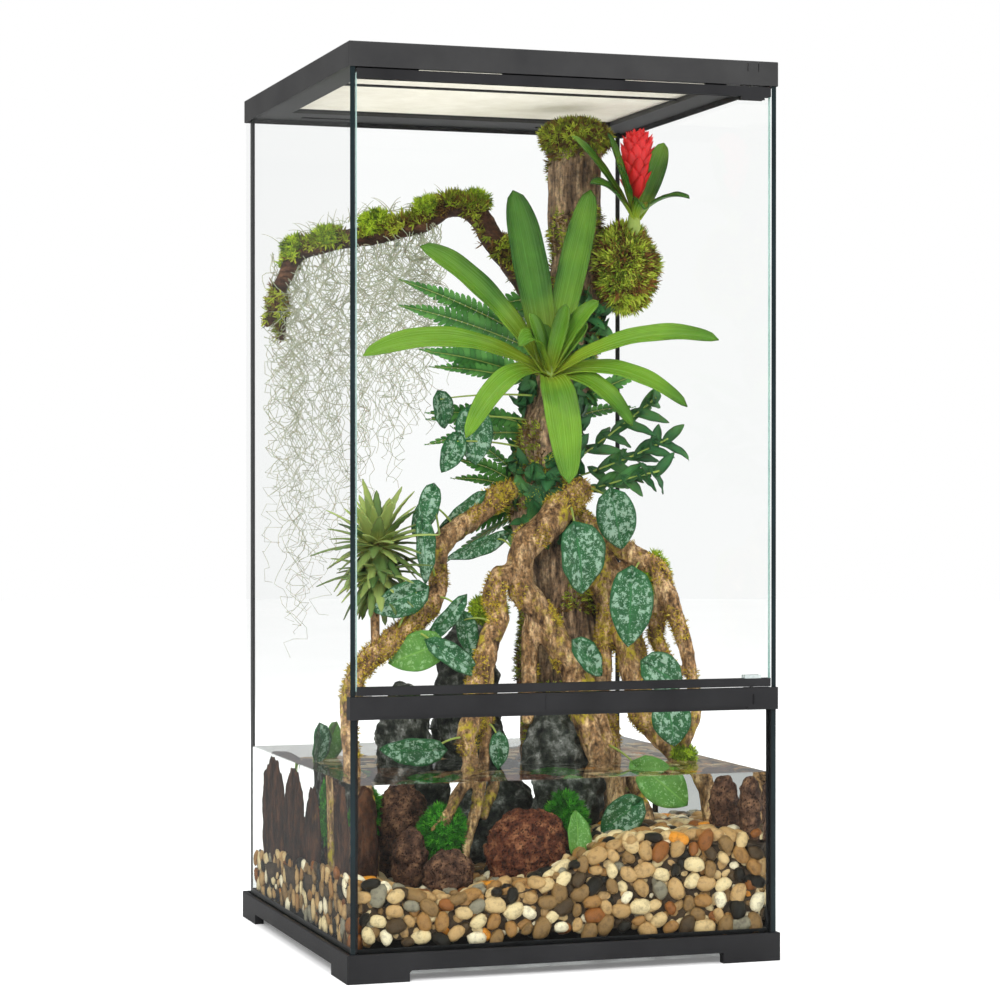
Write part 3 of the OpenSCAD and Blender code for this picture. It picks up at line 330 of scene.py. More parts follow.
def leaf_finish(name, base, edge, centre, rough, streaks=26.0, young=None, own=False):
    """Waxy leaf: pale centre, darker edges (partly the leaf's own colour, partly painted shade), fine
    streaks along it, and younger parts in clouds.
    """
    finish, add, shader, place = start_finish(name, {"Subsurface Weight": 0.12, "Subsurface Scale": 0.003})
    uv = add("UVMap", uv_map="leaf").outputs["UV"]
    across, along = add("SeparateXYZ", {0: uv}).outputs[:2]
    streak_place = add("Mapping", {"Vector": uv, "Scale": (streaks, 1.2, 1)}).outputs["Vector"]
    streak = speckle(add, streak_place, 1.0, 4)
    # darker edges, pale centre: partly the leaf's own colour, partly painted shade on the cupped sides
    tone = shades(add, across, (0.0, edge), (0.3, centre), (0.7, centre), (1.0, edge))
    aged = own_tint(add) if own else spread(add, speckle(add, place, 9, 2), 0.42, 0.62)
    tone = blend(add, aged, tone, colour(young or centre))
    tone = blend(add, spread(add, along, 0.0, 0.4), colour(base), tone)
    tone = blend(add, 0.35, tone, shades(add, streak, (0.3, edge), (0.7, "FFFFFF")), "SOFT_LIGHT")
    cloud = shades(add, speckle(add, place, 60, 4), (0.35, edge), (0.65, centre))
    fit(shader, {"Base Color": blend(add, 0.22, tone, cloud),
                 "Roughness": spread(add, streak, 0.2, 0.8, rough - 0.05, rough + 0.1)})
    relief(add, shader, streak, 0.0003, 0.35)
    return finish


def mottled_leaf_finish(name, dark, silver, vein, cover):
    """Heart leaf with silver blotches between its veins, from the leaf's own UV."""
    finish, add, shader, place = start_finish(name, {"Subsurface Weight": 0.08, "Subsurface Scale": 0.002})
    across, along = add("SeparateXYZ", {0: add("UVMap", uv_map="leaf").outputs["UV"]}).outputs[:2]
    blotch = spread(add, speckle(add, place, 165, 6, 0.68), cover, cover + 0.04)
    dots = spread(add, speckle(add, place, 520, 2), 0.6, 0.66)
    silvered = maths(add, "MAXIMUM", blotch, dots)
    side = maths(add, "ABSOLUTE", maths(add, "SUBTRACT", across, 0.5))
    rib = spread(add, side, 0.012, 0.03, 1.0, 0.0)
    slant = maths(add, "MULTIPLY_ADD", side, -0.55, along)
    tooth = maths(add, "FRACT", maths(add, "MULTIPLY", slant, 9.0))
    veins = maths(add, "MULTIPLY", spread(add, tooth, 0.0, 0.12, 1.0, 0.0), 0.45)
    lines = maths(add, "MAXIMUM", rib, veins)
    rim = spread(add, side, 0.42, 0.49, 1.0, 0.0)
    kept = maths(add, "MULTIPLY", maths(add, "MULTIPLY", silvered, rim), 0.85)
    green = blend(add, speckle(add, place, 60, 3), colour(dark), colour(vein))
    blade = blend(add, kept, green, colour(silver))
    fit(shader, {"Base Color": blend(add, lines, blade, colour(vein)),
                 "Roughness": spread(add, blotch, 0, 1, 0.3, 0.42)})
    relief(add, shader, lines, 0.0006, 0.5)
    return finish


# colours of the gravel core: painted shade for the dark gaps deep among the pebbles
GRAVEL_SHADE_STOPS = ((0.3, "2A2018"), (0.6, "4C3B2A"), (0.8, "6B563D"))
LAVA = ((0.34, "2A120A"), (0.5, "5C2E1A"), (0.66, "946040"))
BROWN_STONE = ((0.34, "22140E"), (0.5, "54382A"), (0.68, "8A6448"))
GREY_STONE = ((0.38, "121416"), (0.5, "33372E"), (0.6, "6A6C66"), (0.7, "B4B4AC"))
MOSSES = {
    "olive_moss": ((0.2, "3E2C14"), (0.36, "7A5A22"), (0.5, "6E7E1E"), (0.66, "A0AC2C"), (0.85, "CCD24E")),
    "ball_moss": ((0.22, "4A2E16"), (0.38, "8A5E2C"), (0.46, "5E7A1E"), (0.62, "A4B430"), (0.8, "D2DC5A")),
    "bright_moss": ((0.15, "3F5410"), (0.45, "85A01C"), (0.7, "AFC62C"), (0.95, "D3DC52")),
    "pond_moss": ((0.15, "1D4A10"), (0.45, "327C1C"), (0.7, "4FA42A"), (0.95, "86C840")),
    "lichen": ((0.15, "6E5A12"), (0.45, "A98E22"), (0.7, "CDB53A"), (0.95, "DDD06A")),
    "air_moss": ((0.2, "A4AA90"), (0.5, "CDD3B8"), (0.8, "EEF2DA"))}

FINISH = {
    "black": moulded_finish("black_moulding", "1B1B1D", "28282A", 0.46),
    "fascia": moulded_finish("fascia_moulding", "2B2B2C", "393939", 0.5),
    # side panes: edges of near-black teal, painted shade over the glass's own green
    "side_glass": pane_finish("side_pane_glass", "left_glass", "Y", "0A1214", "16262A", "MULTIPLY"),
    # door pane: pale green edges, a painted highlight over the glass's own green
    "door_pane": pane_finish("door_pane_glass", "door_glass", "X", "7FA6A0", "B9D3CC"),
    "cross_glass": pane_finish("cross_pane_glass"),
    "bead": bead_finish(),
    "steel": steel_finish(),
    "screen": clouded_finish("screen_wire", {"Roughness": 0.55}, 40, 4, "E4DFD0", "F2EEE2"),
    "clamp": clouded_finish("clamp_plastic", {"Roughness": 0.22, "Transmission Weight": 0.35}, 300, 3,
                            "B9C3C2", "DDE4E2"),
    "pebble": pebble_finish(),
    "painted_gravel_shade": stone_finish("gravel_depths", GRAVEL_SHADE_STOPS, 90, 0.002, 0.8),
    "water": water_finish(),
    "trunk": bark_finish("trunk_bark", "2C221C", "86705A", "CDB89A", "7E8430", 0.58, (34, 34, 6)),
    "branch": bark_finish("branch_bark", "2E1C12", "5C3D27", "8A6646", "7F8A2A", 0.6, (9, 9, 30)),
    "root": bark_finish("root_wood", "3E2C20", "9C7E5A", "DEC8A4", "B4A02A", 0.52, (30, 30, 12), 330),
    "cork": bark_finish("cork_bark", "22120A", "4F301D", "7C5233", "6C4A22", 0.62, (18, 18, 10)),
    "lava": stone_finish("lava_stone", LAVA, 85, 0.005, 0.85, pitted=True),
    "brown_stone": stone_finish("brown_stone", BROWN_STONE, 90, 0.005, 0.8, pitted=True),
    "grey_stone": stone_finish("grey_stone", GREY_STONE, 75, 0.005, 0.55),
    "strap": leaf_finish("strap_leaf", "98A62C", "1F4410", "447022", 0.24, young="6C942A"),
    "red": leaf_finish("red_bract", "A81210", "A00A10", "DC1C1E", 0.38, 12.0, "F0383A"),
    "dark_leaf": leaf_finish("dark_leaf", "27502A", "143A1E", "34683A", 0.4, young="5C9444"),
    "spiky": leaf_finish("spiky_leaf", "C8CC6E", "2A4422", "4A6A34", 0.4, young="A8B864", own=True),
    "fern": leaf_finish("fern_leaf", "24561E", "164418", "34762C", 0.45, young="68A84A", own=True),
    "silver": mottled_leaf_finish("mottled_leaf", "123A20", "93B09A", "2F6A3A", 0.52),
    "fresh": mottled_leaf_finish("fresh_leaf", "2A6420", "8EB478", "6FA048", 0.57),
    "stem": leaf_finish("green_stem", "8A9A4A", "6C8A34", "A8BE62", 0.45)}
for kind, stops in MOSSES.items():
    FINISH[kind] = moss_finish(kind, *stops)

CAD_FINISHES = {
    "black": ["base_frame", "crossbar", "crossbar_cap_left", "crossbar_cap_right", "door_stop",
              "door_bottom_rail", "door_top_rail", "upper_hinge_clamp", "inlet_slide_left",
              "inlet_slide_right", "screen_frame", "screen_lock_left", "screen_lock_right"],
    "fascia": ["top_frame"],
    "side_glass": ["left_glass", "right_glass"],
    "door_pane": ["door_glass"],
    "cross_glass": ["bottom_glass", "back_glass", "front_glass"],
    "bead": ["silicone_seals"],
    "steel": ["catch_plate", "door_magnet", "lower_hinge_pin", "upper_hinge_pin"],
    "clamp": ["lower_hinge_clamp"],
}


def dress_cad():
    """Gives the CAD's own solids their finishes."""
    for finish, names in CAD_FINISHES.items():
        for name in names:
            slots = NODES[name].data.materials
            if not len(slots):
                slots.append(FINISH[finish])
            for slot in NODES[name].material_slots:
                slot.material = FINISH[finish]


# ---------- mesh helpers ----------

def new_piece(name, data):
    obj = bpy.data.objects.new(name, data)
    scene.collection.objects.link(obj)
    return obj


def hold_inside(data, reach):
    """Keeps every vertex within reach of the middle, as the panes do."""
    flat = [0.0] * (3 * len(data.vertices))
    data.vertices.foreach_get("co", flat)
    for axis in (0, 1):
        flat[axis::3] = [max(-reach, min(reach, value)) for value in flat[axis::3]]
    data.vertices.foreach_set("co", flat)
    data.update()


def plain_mesh(obj):
    """The object's evaluated mesh, under its name; the object itself goes."""
    seen = obj.evaluated_get(bpy.context.evaluated_depsgraph_get())
    solid = bpy.data.meshes.new_from_object(seen)
    name = obj.name
    bpy.data.objects.remove(obj)
    solid.name = name
    return solid


def settle(obj, finish, nodes=(), body="enclosure"):
    """Makes a piece plain mesh, gives it its finish and slot, and puts it on its body."""
    if obj.modifiers or obj.type != "MESH":
        name = obj.name
        obj = new_piece(name, plain_mesh(obj))
    if body == "enclosure" and finish != "water":
        hold_inside(obj.data, INNER - CLEAR)
    obj.data.materials.clear()
    obj.data.materials.append(FINISH[finish])
    for face in obj.data.polygons:
        face.material_index = 0
        face.use_smooth = True
    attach(obj, body)
    if nodes:
        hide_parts(*nodes)
    return obj


def mesh_data(name, build, mapped=True):
    """A mesh filled by build(bm, uv); mapped gives it a layer for the leaf's own UV."""
    bm = bmesh.new()
    build(bm, bm.loops.layers.uv.new("leaf") if mapped else None)
    data = bpy.data.meshes.new(name)
    bm.to_mesh(data)
    bm.free()
    return data


def thin_piece(name, build, thick, finish, nodes=()):
    """A piece of leaves: build's sheets made thick, finished and settled."""
    return settle(thicken(new_piece(name, mesh_data(name, build)), thick), finish, nodes)


def thicken(obj, depth):
    """Gives a sheet its thickness, half to each side."""
    solid = obj.modifiers.new("thickness", "SOLIDIFY")
    solid.thickness = depth
    solid.offset = 0
    return obj


def grid_faces(bm, uv, rows):
    """Faces between rows of vertices, with u across and v along."""
    last = len(rows) - 1
    for i in range(last):
        across = len(rows[i]) - 1
        for j in range(across):
            face = bm.faces.new((rows[i][j], rows[i][j + 1], rows[i + 1][j + 1], rows[i + 1][j]))
            spots = ((j, i), (j + 1, i), (j + 1, i + 1), (j, i + 1))
            for loop, (u, v) in zip(face.loops, spots):
                loop[uv].uv = (u / across, v / last)


# ---------- geometry trees ----------

SCATTER_TINTS = 77     # seeds of the tints that the shapes carry
SET_OUT_TINTS = 41
DENSEST = 4000000.0    # points per square metre before the spacing thins them


def start_tree(name, inputs):
    """A geometry tree: its named inputs, its node maker and the end that gives it its finish."""
    tree = bpy.data.node_groups.new(name, "GeometryNodeTree")
    sockets = tree.interface
    sockets.new_socket("Geometry", in_out="INPUT", socket_type="NodeSocketGeometry")
    for label, kind in {**inputs, "Finish": "Material"}.items():
        sockets.new_socket(label, in_out="INPUT", socket_type="NodeSocket" + kind)
    sockets.new_socket("Geometry", in_out="OUTPUT", socket_type="NodeSocketGeometry")
    given = tree.nodes.new("NodeGroupInput").outputs
    add = node_maker(tree)

    def end(geometry):
        real = add("GeometryNodeRealizeInstances", {"Geometry": geometry})
        finished = add("GeometryNodeSetMaterial", {"Geometry": real.outputs[0], "Material": given["Finish"]})
        add("NodeGroupOutput", {0: finished.outputs[0]})
        return tree

    return given, add, end


def run_tree(obj, tree, finish, values):
    """Puts the tree on the object with these inputs."""
    live = obj.modifiers.new(tree.name, "NODES")
    live.node_group = tree
    values = {**values, "Finish": FINISH[finish]}
    for item in tree.interface.items_tree:
        if item.item_type == "SOCKET" and item.in_out == "INPUT" and item.name in values:
            live[item.identifier] = values[item.name]
    return obj


def place_shapes(given, add, points, turn, size, seed):
    """Sets the tree's shape at each point, each with a tint of its own."""
    shape = add("GeometryNodeObjectInfo", {"Object": given["Shape"]}, transform_space="ORIGINAL")
    placed = add("GeometryNodeInstanceOnPoints", {
        "Points": points, "Instance": shape.outputs["Geometry"], "Rotation": turn, "Scale": size})
    tint = add("FunctionNodeRandomValue", {2: 0.0, 3: 1.0, "Seed": seed}, data_type="FLOAT")
    tinted = add("GeometryNodeStoreNamedAttribute", {
        "Geometry": placed.outputs[0], "Name": given["Tint name"], "Value": tint.outputs[1]},
        data_type="FLOAT", domain="INSTANCE")
    return tinted.outputs[0]


def scatter_tree():
    """Sets a shape all over a surface: spaced points, random turn, lean, size and tint."""
    given, add, end = start_tree("scatter", {
        "Shape": "Object", "Spacing": "Float", "Small": "Float", "Large": "Float", "Lean": "Float",
        "Seed": "Int", "Tint name": "String"})
    points = add("GeometryNodeDistributePointsOnFaces", {
        "Mesh": given["Geometry"], "Distance Min": given["Spacing"], "Density Max": DENSEST,
        "Seed": given["Seed"]}, distribute_method="POISSON")
    back = add("ShaderNodeMath", {0: given["Lean"], 1: -1.0}, operation="MULTIPLY").outputs[0]
    low = add("ShaderNodeCombineXYZ", {0: back, 1: back, 2: 0.0})
    high = add("ShaderNodeCombineXYZ", {0: given["Lean"], 1: given["Lean"], 2: 2 * math.pi})
    turn = add("FunctionNodeRandomValue", {0: low.outputs[0], 1: high.outputs[0], "Seed": given["Seed"]},
               data_type="FLOAT_VECTOR")
    upright = add("FunctionNodeEulerToRotation", {0: turn.outputs[0]})
    facing = add("FunctionNodeRotateRotation", {0: points.outputs["Rotation"], 1: upright.outputs[0]},
                 rotation_space="LOCAL")
    size = add("FunctionNodeRandomValue", {2: given["Small"], 3: given["Large"], "Seed": given["Seed"]},
               data_type="FLOAT")
    return end(place_shapes(given, add, points.outputs["Points"], facing.outputs[0], size.outputs[1],
                            SCATTER_TINTS))


def set_out_tree():
    """Sets a shape at each point, turned and sized as the point says."""
    given, add, end = start_tree("set_out", {"Shape": "Object", "Tint name": "String"})
    turn, size = (
        add("GeometryNodeInputNamedAttribute", {"Name": name}, data_type="FLOAT_VECTOR").outputs[0]
        for name in ("turn", "size"))
    facing = add("FunctionNodeEulerToRotation", {0: turn}).outputs[0]
    return end(place_shapes(given, add, given["Geometry"], facing, size, SET_OUT_TINTS))


def tube_tree():
    """Round tubes along curves, each as thick as its points' radius says."""
    given, add, end = start_tree("tubes", {"Sides": "Int"})
    ring = add("GeometryNodeCurvePrimitiveCircle", {"Resolution": given["Sides"], "Radius": 1.0})
    radius = add("GeometryNodeInputRadius")
    tube = add("GeometryNodeCurveToMesh", {
        "Curve": given["Geometry"], "Profile Curve": ring.outputs[0], "Scale": radius.outputs[0],
        "Fill Caps": True})
    return end(tube.outputs[0])


def screen_tree():
    """Wires across a rectangle, both ways, at an even pitch."""
    given, add, end = start_tree("woven_screen", {
        "Width": "Float", "Depth": "Float", "Pitch": "Float", "Wire": "Float"})
    spans = (given["Width"], given["Depth"])
    joined = add("GeometryNodeJoinGeometry")
    for along, over, height in ((0, 1, -0.5), (1, 0, 0.5)):
        length = add("ShaderNodeCombineXYZ", {along: spans[along], over: given["Wire"], 2: given["Wire"]})
        bar = add("GeometryNodeMeshCube", {"Size": length.outputs[0]})
        count = add("ShaderNodeMath", {0: spans[over], 1: given["Pitch"]}, operation="DIVIDE")
        half = add("ShaderNodeMath", {0: spans[over], 1: -0.5}, operation="MULTIPLY")
        lift = add("ShaderNodeMath", {0: given["Wire"], 1: height}, operation="MULTIPLY")
        start = add("ShaderNodeCombineXYZ", {over: half.outputs[0], 2: lift.outputs[0]})
        step = add("ShaderNodeCombineXYZ", {over: given["Pitch"]})
        row = add("GeometryNodeMeshLine", {
            "Count": count.outputs[0], "Start Location": start.outputs[0], "Offset": step.outputs[0]},
            mode="OFFSET")
        placed = add("GeometryNodeInstanceOnPoints", {"Points": row.outputs[0], "Instance": bar.outputs[0]})
        joined.id_data.links.new(placed.outputs[0], joined.inputs[0])
    return end(joined.outputs[0])


SCATTER = scatter_tree()
SET_OUT = set_out_tree()
TUBES = tube_tree()
SCREEN = screen_tree()


def scatter(name, surface, shape, finish, slot, spacing, sizes, lean, seed, tint="tuft_tint"):
    """Scatters shape over the surface, smallest to largest as sizes says."""
    return settle(run_tree(new_piece(name, surface), SCATTER, finish, {
        "Shape": shape, "Spacing": spacing, "Small": sizes[0], "Large": sizes[1], "Lean": lean,
        "Seed": seed, "Tint name": tint}), finish)


def set_out(name, spots, shape, finish, nodes, thick=0.0):
    """Sets shape at each spot of (place, rotation matrix, size)."""
    data = bpy.data.meshes.new(name)
    data.from_pydata([tuple(place) for place, turn, size in spots], [], [])
    turns = data.attributes.new("turn", "FLOAT_VECTOR", "POINT")
    sizes = data.attributes.new("size", "FLOAT_VECTOR", "POINT")
    for i, (place, turn, size) in enumerate(spots):
        turns.data[i].vector = turn.to_euler()
        sizes.data[i].vector = size
    obj = run_tree(new_piece(name, data), SET_OUT, finish, {"Shape": shape, "Tint name": "tuft_tint"})
    return settle(thicken(obj, thick) if thick else obj, finish, nodes)


def tubes(name, routes, finish, sides, nodes=()):
    """Round tubes along routes of (place, radius) points."""
    data = bpy.data.curves.new(name, "CURVE")
    data.dimensions = "3D"
    for route in routes:
        line = data.splines.new("POLY")
        line.points.add(len(route) - 1)
        for point, (place, radius) in zip(line.points, route):
            point.co = (*place, 1)
            point.radius = radius
    return settle(run_tree(new_piece(name, data), TUBES, finish, {"Sides": sides}), finish, nodes)


def template(name, build):
    """A small shape kept out of the scene, for the trees to repeat."""
    return bpy.data.objects.new(name, mesh_data(name, build))


# ---------- wood and stone ----------

def swell(data, amount):
    """Moves every vertex along its normal by amount(place)."""
    moved = [v.co + v.normal * amount(v.co) for v in data.vertices]
    data.vertices.foreach_set("co", [x for spot in moved for x in spot])
    data.update()


CORK_MIDDLES = (0.14, 0.048, -0.03, -0.146)
CORK_BREADTH = 1.24


def broaden(mesh):
    """Makes each cork slab broader about its own middle, up to its neighbour."""
    for vertex in mesh.verts:
        middle = min(CORK_MIDDLES, key=lambda place: abs(place - vertex.co.y))
        vertex.co.y = middle + (vertex.co.y - middle) * CORK_BREADTH


WELD = 0.00002         # points closer than this are one


def weathered(name, node, finish, slot, cell, depth, grain, lumps=0.0, sink=0.0, reshape=None):
    """The node's shape with a natural surface: furrows of the given depth and broad swellings."""
    data = NODES[node].data.copy()
    data.name = name
    bm = bmesh.new()
    bm.from_mesh(data)
    bmesh.ops.remove_doubles(bm, verts=bm.verts, dist=WELD)
    bmesh.ops.recalc_face_normals(bm, faces=bm.faces)
    if reshape:
        reshape(bm)
    bm.to_mesh(data)
    bm.free()
    obj = new_piece(name, data)
    cells = obj.modifiers.new("cells", "REMESH")
    cells.mode = "VOXEL"
    cells.voxel_size = cell
    soften = obj.modifiers.new("soften", "SMOOTH")
    soften.factor = 0.6
    soften.iterations = 6
    solid = plain_mesh(obj)
    stretch = Vector(grain)

    def furrowed(spot):
        place = spot * stretch
        furrow = noise.fractal(place, 0.8, 2.2, 5)
        ridge = 1 - 2 * abs(noise.noise(place * 0.7 + Vector((7, 3, 1))))
        return depth * (0.7 * furrow + 0.5 * ridge) + lumps * noise.noise(spot * 22) - sink
    swell(solid, furrowed)
    return settle(new_piece(name, solid), finish, [node])


# ---------- pebble bed ----------

BED_LEVEL = 92


def gravel_top(x, y):
    """Height of the pebble bed in mm at a place in mm."""
    def ease(t):
        u = min(1, max(0, t))
        return u * u * (3 - 2 * u)
    bank = 42 * ease((x + 60) / 150) * (1 - 0.25 * ease((y + 100) / 300))
    hollow = 10 * math.exp(-((x + 125) / 55) ** 2)
    corner = 10 * ease((-x - 150) / 70) * ease((-y + 40) / 200)
    fall = 14 * ease((y - 60) / 160)
    ripple = 2.5 * math.sin(math.radians(x * 9)) * math.cos(math.radians(y * 11))
    return BED_LEVEL + bank - hollow + corner - fall + ripple


PEBBLE_HALVES = (0.0122, 0.0086, 0.0062)


def pebble_shape(bm, uv):
    """A rounded, slightly dented pebble."""
    bmesh.ops.create_cube(bm, size=1.0)
    bmesh.ops.subdivide_edges(bm, edges=bm.edges[:], cuts=2, use_grid_fill=True)
    for vertex in bm.verts:
        way = vertex.co.normalized()
        dent = 1 + 0.16 * noise.noise(way * 1.7 + Vector((4, 4, 4)))
        vertex.co = Vector([part * half for part, half in zip(way, PEBBLE_HALVES)]) * dent


def bed_sides(back):
    """Four upright faces, set back from the panes, as high as the pebbles there."""
    reach = INNER - back
    count = 24

    def build(bm, uv):
        for turn in range(4):
            spin = Matrix.Rotation(turn * math.pi / 2, 3, "Z")
            row = []
            for i in range(count + 1):
                spot = spin @ Vector(((2 * i / count - 1) * reach, -reach, 0))
                top = gravel_top(spot.x / MM, spot.y / MM) * MM - 0.008
                row.append([bm.verts.new((spot.x, spot.y, z)) for z in (FLOOR + back, top)])
            for (a, b), (c, d) in zip(row, row[1:]):
                bm.faces.new((a, c, d, b))
    return mesh_data("bed_sides", build, mapped=False)


def bed_top(sink):
    """The pebble bed's upper side, sunk a little."""
    reach = INNER - 0.012
    count = 30

    def build(bm, uv):
        steps = [(2 * i / count - 1) * reach for i in range(count + 1)]
        rows = [[bm.verts.new((x, y, gravel_top(x / MM, y / MM) * MM - sink)) for x in steps]
                for y in steps]
        for low, high in zip(rows, rows[1:]):
            for i in range(count):
                bm.faces.new((low[i], low[i + 1], high[i + 1], high[i]))
    return mesh_data("bed_top", build, mapped=False)


def make_gravel():
    """Pebbles against the panes, smaller ones behind, pebbles on top and a dark core that is painted shade
    for the gaps deep among them.
    """
    pebble = template("pebble", pebble_shape)
    # spacing in metres, smallest and largest size, lean in radians
    for name, surface, spacing, sizes, lean, seed in (
            ("pebbles_against_glass", bed_sides(0.0098), 0.0145, (0.62, 1.1), 0.25, 3),
            ("small_pebbles_behind", bed_sides(0.0155), 0.0095, (0.45, 0.8), 0.6, 5),
            ("pebbles_on_top", bed_top(0.004), 0.0145, (0.62, 1.15), 0.35, 9)):
        scatter(name, surface, pebble, "pebble", "gravel", spacing, sizes, lean, seed, "pebble_tint")
    # the core sits below the pebbles; its dark colour is painted shade in the gaps between them
    weathered("gravel_core", "gravel_bed", "painted_gravel_shade", "gravel", 0.006, 0.001, (90, 90, 90), sink=0.013)


WATER_GAP = 0.0004     # over the bottom pane
WATER_EDGE = 0.0006    # bevel of its edges


def make_water():
    """The body of water, from the bottom pane to the water level, with flat faces."""
    low = FLOOR + WATER_GAP

    def build(bm, uv):
        reach = INNER - 0.0005
        bmesh.ops.create_cube(bm, size=1.0)
        for vertex in bm.verts:
            x, y, z = vertex.co
            vertex.co = Vector((x * 2 * reach, y * 2 * reach, low + (z + 0.5) * (WATER - low)))
        bmesh.ops.bevel(bm, geom=bm.edges[:], offset=WATER_EDGE, segments=2, affect="EDGES")
    box = new_piece("basin_water", mesh_data("basin_water", build))
    water = settle(box, "water", ["water_surface"])
    for face in water.data.polygons:
        face.use_smooth = False


# ---------- leaves ----------

def leaf_rows(bm, route, sides, half, cup, wave=0.0, cells=8):
    """Rows of vertices across a leaf that follows route; sides gives its side direction."""
    rows = []
    last = len(route) - 1
    for i, place in enumerate(route):
        t = i / last
        along = (route[min(i + 1, last)] - route[max(i - 1, 0)]).normalized()
        side = sides[i]
        up = side.cross(along).normalized()
        wide = half(t)
        rows.append([])
        for j in range(cells + 1):
            u = 2 * j / cells - 1
            lift = cup * wide * abs(u) ** 1.6 + wave * math.sin(t * 23 + u * 2.4) * u * u
            rows[-1].append(bm.verts.new(place + side * wide * u + up * lift))
    return rows


def bend(a, b, lift, count):
    """A curve from a to b, raised by lift in its middle, as count + 1 places."""
    mid = (a + b) / 2 + UP * lift
    steps = [i / count for i in range(count + 1)]
    return [a * (1 - t) ** 2 + mid * 2 * t * (1 - t) + b * t * t for t in steps]


def strap_profile(width):
    """Half width along a strap leaf: wider from its foot on, then drawn in to a blunt tip."""
    def half(t):
        body = 0.45 + 0.55 * math.sin(math.pi * min(0.5, 0.05 + 0.75 * t))
        end = max(0.0, (t - 0.55) / 0.45)
        return width * body * max(0.0, 1 - end ** 2.6) ** 0.5 + 0.0002
    return half


def strap_leaf(bm, uv, heart, tip, lift, width, start, axis, cup=0.42, wave=0.0):
    """One strap leaf from near the heart to its tip, its upper side towards its plant's axis."""
    way = (tip - heart).normalized()
    first = heart + way * start
    side = (tip - first).cross(axis).normalized()
    route = bend(first, tip, lift, 26)
    grid_faces(bm, uv, leaf_rows(bm, route, [side] * len(route), strap_profile(width), cup, wave))


BIG_AXIS = Vector((-0.1, -0.75, 0.65))
RED_AXIS = Vector((0.15, -0.6, 0.8))
BIG_HEART = mm(55, -8, 612)
# tip in mm, lift, half width
BIG_LEAVES = [
    ((12, -14, 812), 8, 19),
    ((-102, -44, 746), 34, 16),
    ((-170, -64, 628), 52, 14),
    ((-66, -92, 542), 60, 12),
    ((36, -128, 494), 60, 18),
    ((104, -8, 816), 4, 15),
    ((203, -134, 647), 40, 12),
    ((188, -82, 577), 44, 11),
    ((132, -64, 556), 40, 11),
    ((0, -70, 640), 46, 10),
    ((90, -70, 690), 20, 9)]
RED_HEART = mm(163, 14, 786)
RED_LEAVES = [
    ((86, 4, 876), 14, 8), ((100, -18, 822), 24, 8), ((126, -2, 880), 6, 7), ((194, 2, 872), -6, 11),
    ((204, -48, 806), 22, 7), ((150, -52, 792), 26, 7), ((196, 40, 812), 20, 7), ((128, -30, 842), 16, 7)]
BIG_STRAPS = {"axis": BIG_AXIS, "start": 0.004}
RED_STRAPS = {"axis": RED_AXIS, "start": 0.003, "wave": 0.0004}
# place and radius, in mm
STEM_JOINS = [
    [((55, -8, 585), 7), ((56, -8, 600), 11), ((55, -8, 618), 9), ((55, -8, 632), 4)],
    [((58, -4, 600), 8), ((72, 18, 597), 9), ((80, 32, 594), 8)],
    [((163, 14, 768), 4), ((163, 14, 778), 8), ((163, 14, 790), 7), ((163, 14, 800), 3)]]
SPIKE_STALK = [((163, 14, 788), 4), ((165, 14, 812), 4), ((168, 14, 850), 5), ((170, 14, 880), 2)]
ROSETTE_STALK = [((-156, -62, 316), 4.5), ((-155, -56, 360), 5), ((-151, -46, 400), 5.5),
                 ((-149, -42, 430), 8)]


def stem_route(points):
    """A tube's route from (place, radius) points in mm."""
    return [(mm(*place), radius / 1000) for place, radius in points]


def make_bromeliads():
    """The large and the flowering bromeliad, and the feet that join them to the trunk."""
    def big(bm, uv):
        for tip, lift, width in BIG_LEAVES:
            strap_leaf(bm, uv, BIG_HEART, mm(*tip), lift * MM, width * MM * 1.05, wave=0.0006, **BIG_STRAPS)
        for i in range(7):
            a = i * 2.4
            way = Vector((math.cos(a) * 0.034, math.sin(a) * 0.02 - 0.03, 0.055 + 0.01 * (i % 3)))
            strap_leaf(bm, uv, BIG_HEART, BIG_HEART + way, 0.006, 0.0085, cup=0.5, **BIG_STRAPS)
    thin_piece("strap_leaves", big, 0.0012, "strap", ["large_bromeliad"])

    def red(bm, uv):
        for tip, lift, width in RED_LEAVES:
            strap_leaf(bm, uv, RED_HEART, mm(*tip), lift * MM, width * MM * 1.1, **RED_STRAPS)
    thin_piece("flowering_leaves", red, 0.001, "strap", ["red_bromeliad"])
    tubes("bromeliad_feet", [stem_route(points) for points in STEM_JOINS], "stem", 8)


def bract_shape(bm, uv):
    """One cupped pointed bract, base at the origin, pointing along +Z."""
    route = [Vector((0.0016 * math.sin(t * 2.2), 0, 0.03 * t)) for t in (i / 8 for i in range(9))]

    def half(t):
        return 0.0074 * math.sin(math.pi * (0.12 + 0.88 * t)) ** 0.8 + 0.0001
    grid_faces(bm, uv, leaf_rows(bm, route, [Vector((0, 1, 0))] * 9, half, -0.55, cells=4))


# height and half width of the spike, in mm
SPIKE_WIDTHS = [(790, 4), (812, 5), (826, 9), (850, 13), (872, 11), (888, 6), (894, 3)]
BRACTS = 74


